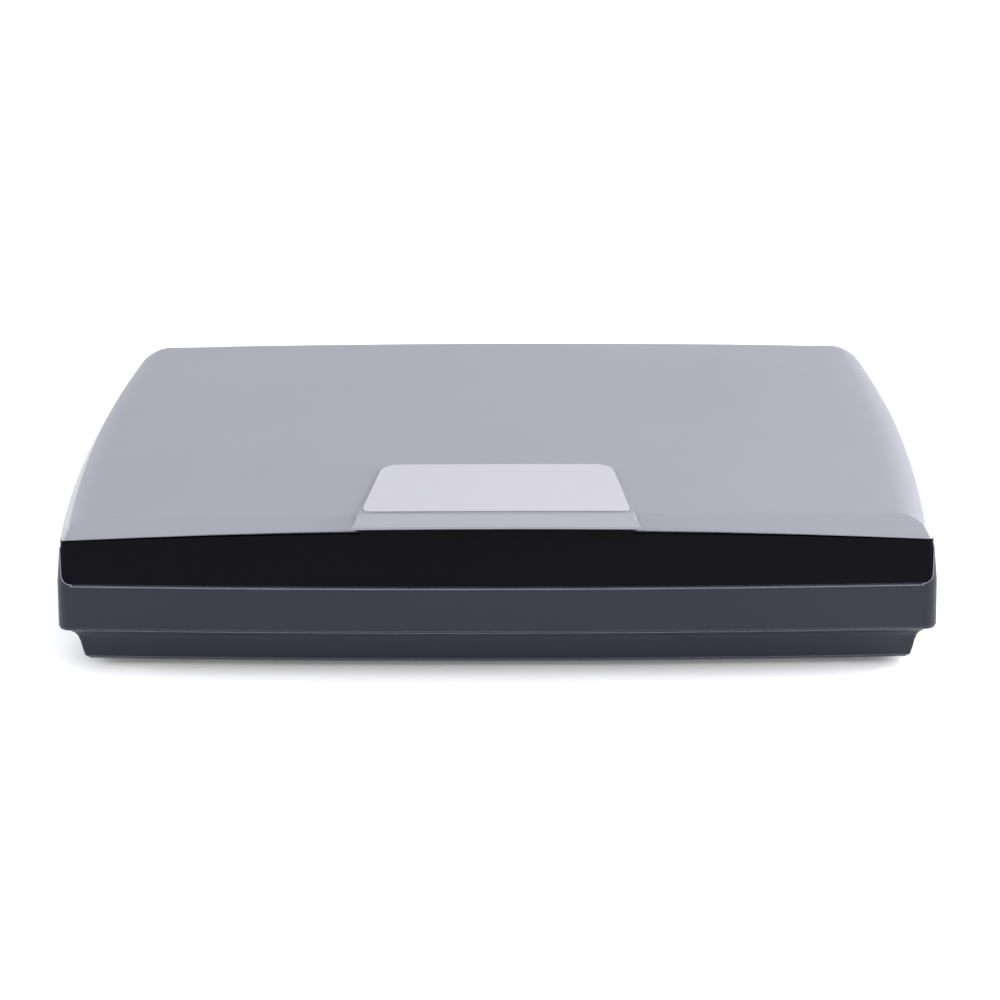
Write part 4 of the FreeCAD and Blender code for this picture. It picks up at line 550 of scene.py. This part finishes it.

# %% [markdown]
# The foam's face is full of burst bubbles. Cells of Voronoi noise pit it, and the pits
# are painted a little darker than the skin between them, as painted shade in the hollows.

# %% Foam finish
PIT_DEPTH = 0.2 * MM
foam_white, tree, shader, coords = start_material("foam white")
shader.inputs["Roughness"].default_value = 0.9
shader.inputs["Specular IOR Level"].default_value = 0.2
bubbles = tree.nodes.new("ShaderNodeTexVoronoi")
bubbles.inputs["Scale"].default_value = 1600.0
tree.links.new(coords, bubbles.inputs["Vector"])
pits = range_node(tree, bubbles.outputs["Distance"], 0.1, 0.6)
# Painted shade: the hollow pits get the darker colour, the skin between them the lighter one.
foam_pit_shade = mix_colour(tree, pits, linear(196, 194, 188), linear(232, 231, 226))
tree.links.new(foam_pit_shade, shader.inputs["Base Color"])
dimple = tree.nodes.new("ShaderNodeBump")
dimple.inputs["Distance"].default_value = PIT_DEPTH
tree.links.new(pits, dimple.inputs["Height"])
tree.links.new(dimple.outputs["Normal"], shader.inputs["Normal"])
pad.data.materials.append(foam_white)
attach(pad, "lid")
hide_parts("pad_foam")

# %% [markdown]
# The sheet that presses the paper flat is thin white vinyl. Its upright edges are picked
# by their direction and bevelled first, so that its corners are round, and then the rim
# gets a small pressed edge.

# %% Vinyl sheet
CORNER_ROUND = 6 * MM
PRESSED_EDGE = 0.3 * MM
sheet_low, sheet_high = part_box("pad_sheet")
vinyl = block("pad sheet", sheet_low, sheet_high)
upright = pick_edges(vinyl, lambda middle, way: abs(way.z) > 0.9)
bpy.ops.mesh.bevel(offset=CORNER_ROUND, segments=8)
leave_edit()
apply_modifier(vinyl, "BEVEL", width=PRESSED_EDGE, segments=3, limit_method="ANGLE",
               angle_limit=math.radians(50))
smooth(vinyl, 40)
vinyl.name = "pad_sheet_vinyl"
vinyl_white = finish_material("vinyl white", linear(236, 236, 232), 0.38, grain_scale=1900.0,
                              grain_depth=0.012, tone=0.03, dusty=0.0, edge=0.0)
vinyl.data.materials.append(vinyl_white)
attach(vinyl, "lid")
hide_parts("pad_sheet")
print(vinyl.name, upright, "corners rounded")

# %% [markdown]
# ## The flat cable
# A white ribbon joins the circuit board to the scan head. It lies on the floor of the
# housing, folds over and runs back under the head, so that the fold can roll along as
# the head travels. Its copper tracks show as fine stripes.

# %% Ribbon
ribbon_low, ribbon_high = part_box("flex_cable")
head_low, head_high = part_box("head_housing")
THICK = 0.5 * MM
LIFT = 0.3 * MM
END_ROOM = 0.4 * MM
SIDE_ROOM = 0.2 * MM
TAIL_IN = 16 * MM
RUN_STEPS = 12
TURN_STEPS = 16
TAIL_STEPS = 6
low_run = ribbon_low.z + LIFT
half_turn = (ribbon_high.z - ribbon_low.z - 2 * LIFT) / 2
run_in = ribbon_high.x - END_ROOM
bend_x = ribbon_low.x + half_turn + END_ROOM
path = []
for step in range(RUN_STEPS + 1):
    path.append((run_in + (bend_x - run_in) * step / RUN_STEPS, low_run))
for step in range(1, TURN_STEPS):
    angle = math.pi * step / TURN_STEPS
    path.append((bend_x - half_turn * math.sin(angle), low_run + half_turn * (1 - math.cos(angle))))
tail_x = head_high.x - TAIL_IN
for step in range(TAIL_STEPS + 1):
    path.append((bend_x + (tail_x - bend_x) * step / TAIL_STEPS, low_run + 2 * half_turn))
bpy.ops.object.select_all(action="DESELECT")
bpy.ops.mesh.primitive_plane_add(size=1.0)
ribbon = bpy.context.active_object
ribbon.name = "flex_cable_ribbon"
mesh = bmesh.new()
rows = []
for x, z in path:
    sides = (ribbon_low.y + SIDE_ROOM, ribbon_high.y - SIDE_ROOM)
    rows.append([mesh.verts.new((x, y, z)) for y in sides])
for a, b in zip(rows, rows[1:]):
    mesh.faces.new((a[0], a[1], b[1], b[0]))
mesh.to_mesh(ribbon.data)
mesh.free()
apply_modifier(ribbon, "SOLIDIFY", thickness=THICK, offset=0.0)
only(ribbon)
bpy.ops.object.mode_set(mode="EDIT")
bpy.ops.mesh.select_all(action="SELECT")
bpy.ops.mesh.normals_make_consistent(inside=False)
leave_edit()
smooth(ribbon, 50)
print(ribbon.name, "turn radius mm", round(half_turn * 1000, 2))

# %% [markdown]
# The ribbon is printed with fine tracks, one every millimetre. A sine across its width
# gives even stripes without any picture, and drives both the colour and a slight ridge.

# %% Ribbon finish
TRACK_PITCH = 1 * MM
TRACK_RIDGE = 0.05 * MM
ribbon_white, tree, shader, coords = start_material("ribbon white")
shader.inputs["Roughness"].default_value = 0.35
apart = tree.nodes.new("ShaderNodeSeparateXYZ")
tree.links.new(coords, apart.inputs[0])
wave = math_node(tree, "SINE", math_node(tree, "MULTIPLY", apart.outputs["Y"], 2 * math.pi / TRACK_PITCH))
track = range_node(tree, wave, -0.2, 0.3)
ribbon_tint = mix_colour(tree, track, linear(238, 238, 236), linear(196, 200, 205))
tree.links.new(ribbon_tint, shader.inputs["Base Color"])
ridge = tree.nodes.new("ShaderNodeBump")
ridge.inputs["Distance"].default_value = TRACK_RIDGE
tree.links.new(track, ridge.inputs["Height"])
tree.links.new(ridge.outputs["Normal"], shader.inputs["Normal"])
ribbon.data.materials.append(ribbon_white)
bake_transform(ribbon)
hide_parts("flex_cable")

# %% [markdown]
# ## Marks on the bezel
# Fine raised marks along the front and the left of the glass help to line a page up: a
# short one every five millimetres and a long one every ten, with a small arrow in the
# corner where a page starts.

# %% Page marks
TAPE_TO_OPENING = 6.2 * MM
MARK_RISE = 0.18 * MM
MARK_SINK = 0.2 * MM
MARK_WIDTH = 0.3 * MM
MARK_GAP = 1.8 * MM
MARK_STEP = 5 * MM
FIRST_MARK = 4 * MM
LONG_MARK = 4.5 * MM
SHORT_MARK = 2.5 * MM
MARKS_ACROSS = 60
MARKS_BACK = 43
deck_low, deck_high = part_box("deck_frame")
open_low, open_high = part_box("glass_tape")
edge_x = open_low.x + TAPE_TO_OPENING
edge_y = open_low.y + TAPE_TO_OPENING
mark_z = deck_high.z
ticks = bmesh.new()


def tick(x0, x1, y0, y1):
    """One raised bar, sunk a little into the bezel."""
    low_z, high_z = mark_z - MARK_SINK, mark_z + MARK_RISE
    corners = [(x0, y0), (x1, y0), (x1, y1), (x0, y1)]
    base = [ticks.verts.new((x, y, low_z)) for x, y in corners]
    top = [ticks.verts.new((x, y, high_z)) for x, y in corners]
    ticks.faces.new(top)
    ticks.faces.new(list(reversed(base)))
    for k in range(len(corners)):
        after = (k + 1) % len(corners)
        ticks.faces.new((base[k], base[after], top[after], top[k]))


def mark_length(step):
    return LONG_MARK if step % 2 == 0 else SHORT_MARK


for step in range(MARKS_ACROSS):
    x = edge_x + FIRST_MARK + step * MARK_STEP
    tick(x, x + MARK_WIDTH, edge_y - MARK_GAP - mark_length(step), edge_y - MARK_GAP)
for step in range(MARKS_BACK):
    y = edge_y + FIRST_MARK + step * MARK_STEP
    tick(edge_x - MARK_GAP - mark_length(step), edge_x - MARK_GAP, y, y + MARK_WIDTH)
print("tick faces", len(ticks.faces))

# %% [markdown]
# The arrow in the corner is a flat three-sided cone, turned to point at the corner, and
# the ticks and the arrow become one piece.

# %% Arrow and finish
ARROW_BASE = 3 * MM
ARROW_TOP = 2.6 * MM
ARROW_OUT = 5 * MM
bpy.ops.object.select_all(action="DESELECT")
bpy.ops.mesh.primitive_plane_add(size=1.0)
marks = bpy.context.active_object
marks.name = "page_marks"
ticks.to_mesh(marks.data)
ticks.free()
bpy.ops.object.select_all(action="DESELECT")
bpy.ops.mesh.primitive_cone_add(vertices=3, radius1=ARROW_BASE, radius2=ARROW_TOP, depth=MARK_RISE * 2,
                                location=(edge_x - ARROW_OUT, edge_y - ARROW_OUT, mark_z),
                                rotation=(0, 0, math.radians(-45)))
arrow = settle(bpy.context.active_object, "page arrow")
marks = join_pieces([marks, arrow], "page_marks")
mark_white = finish_material("mark white", linear(198, 198, 200), 0.6, grain_depth=0.004, dusty=0.0,
                             edge=0.0)
marks.data.materials.clear()
marks.data.materials.append(mark_white)
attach(marks, "base")

# %% [markdown]
# ## The studio
# A white floor that glows a little, a broad soft light overhead and forward, a second
# from the right, and a low strip on each side that picks out the housing's corners.

# %% Floor
WHITE = (1.0, 1.0, 1.0, 1.0)
FLOOR_SIZE = 30.0
FLOOR_GLOW = 0.12
bpy.ops.object.select_all(action="DESELECT")
bpy.ops.mesh.primitive_plane_add(size=FLOOR_SIZE, location=(0.0, 3.0, cad_low.z))
floor = settle(bpy.context.active_object, "floor")
floor_paint, floor_tree, floor_shader, floor_coords = start_material("floor paint")
floor_shader.inputs["Roughness"].default_value = 0.9
floor_shader.inputs["Specular IOR Level"].default_value = 0.1
floor_shader.inputs["Emission Color"].default_value = WHITE
floor_shader.inputs["Emission Strength"].default_value = FLOOR_GLOW
floor_tones = placed(floor_tree, drift, floor_coords, Scale=1.5, Amount=0.01)
floor_tree.links.new(mix_colour(floor_tree, floor_tones["Mask"], (0.93, 0.93, 0.93, 1.0),
                                (0.94, 0.94, 0.94, 1.0)), floor_shader.inputs["Base Color"])
floor.data.materials.append(floor_paint)

# %% [markdown]
# Softboxes make broad, soft highlights. Each is an area light, placed and aimed at the
# scanner, with its size and power. The sky fills the shadows with a faint blue.

# %% Lights
def soft_light(name, place, aim, width, height, power, colour=(1.0, 1.0, 1.0)):
    """An area light at a place, facing what it is aimed at."""
    data = bpy.data.lights.new(name, "AREA")
    data.shape = "RECTANGLE"
    data.size = width
    data.size_y = height
    data.energy = power
    data.color = colour
    lamp = bpy.data.objects.new(name, data)
    bpy.context.scene.collection.objects.link(lamp)
    lamp.location = place
    lamp.rotation_euler = (Vector(aim) - Vector(place)).to_track_quat("-Z", "Y").to_euler()


soft_light("overhead softbox", (0.0, -0.5, 1.9), (0.0, 0.0, 0.1), 3.0, 2.4, 22.0)
soft_light("right softbox", (1.5, 0.35, 0.8), (0.1, 0.0, 0.05), 0.8, 1.2, 24.0, (1.0, 0.99, 1.0))
soft_light("left strip", (-1.5, -0.15, 0.4), (-0.2, 0.0, 0.05), 0.5, 0.7, 14.0)
soft_light("right strip", (1.5, -0.25, 0.35), (0.2, 0.0, 0.05), 0.5, 0.6, 15.0, (1.0, 0.98, 1.0))
world = bpy.data.worlds.new("studio air")
world.use_nodes = True
air = world.node_tree.nodes["Background"]
air.inputs["Color"].default_value = (0.93, 0.94, 1.0, 1.0)
air.inputs["Strength"].default_value = 0.8
bpy.context.scene.world = world
bpy.context.scene.view_settings.view_transform = "Standard"

# %% [markdown]
# ## The camera
# A long lens looks down on the front from a little right of centre.

# %% Camera
PITCH = math.radians(21.85)
TURN = math.radians(0.56)
ROLL = math.radians(-0.35)
PLACE = (0.0142, -1.3751, 0.5943)
camera_data = bpy.data.cameras.new("camera")
camera_data.sensor_width = 36.0
camera_data.lens = 87.0
camera = bpy.data.objects.new("camera", camera_data)
bpy.context.scene.collection.objects.link(camera)
turned = Matrix.Rotation(TURN, 4, "Z")
tilted = Matrix.Rotation(math.pi / 2 - PITCH, 4, "X")
rolled = Matrix.Rotation(ROLL, 4, "Z")
camera.matrix_world = Matrix.Translation(PLACE) @ turned @ tilted @ rolled
camera_data.clip_start = 0.05
camera_data.clip_end = 50.0
bpy.context.scene.camera = camera
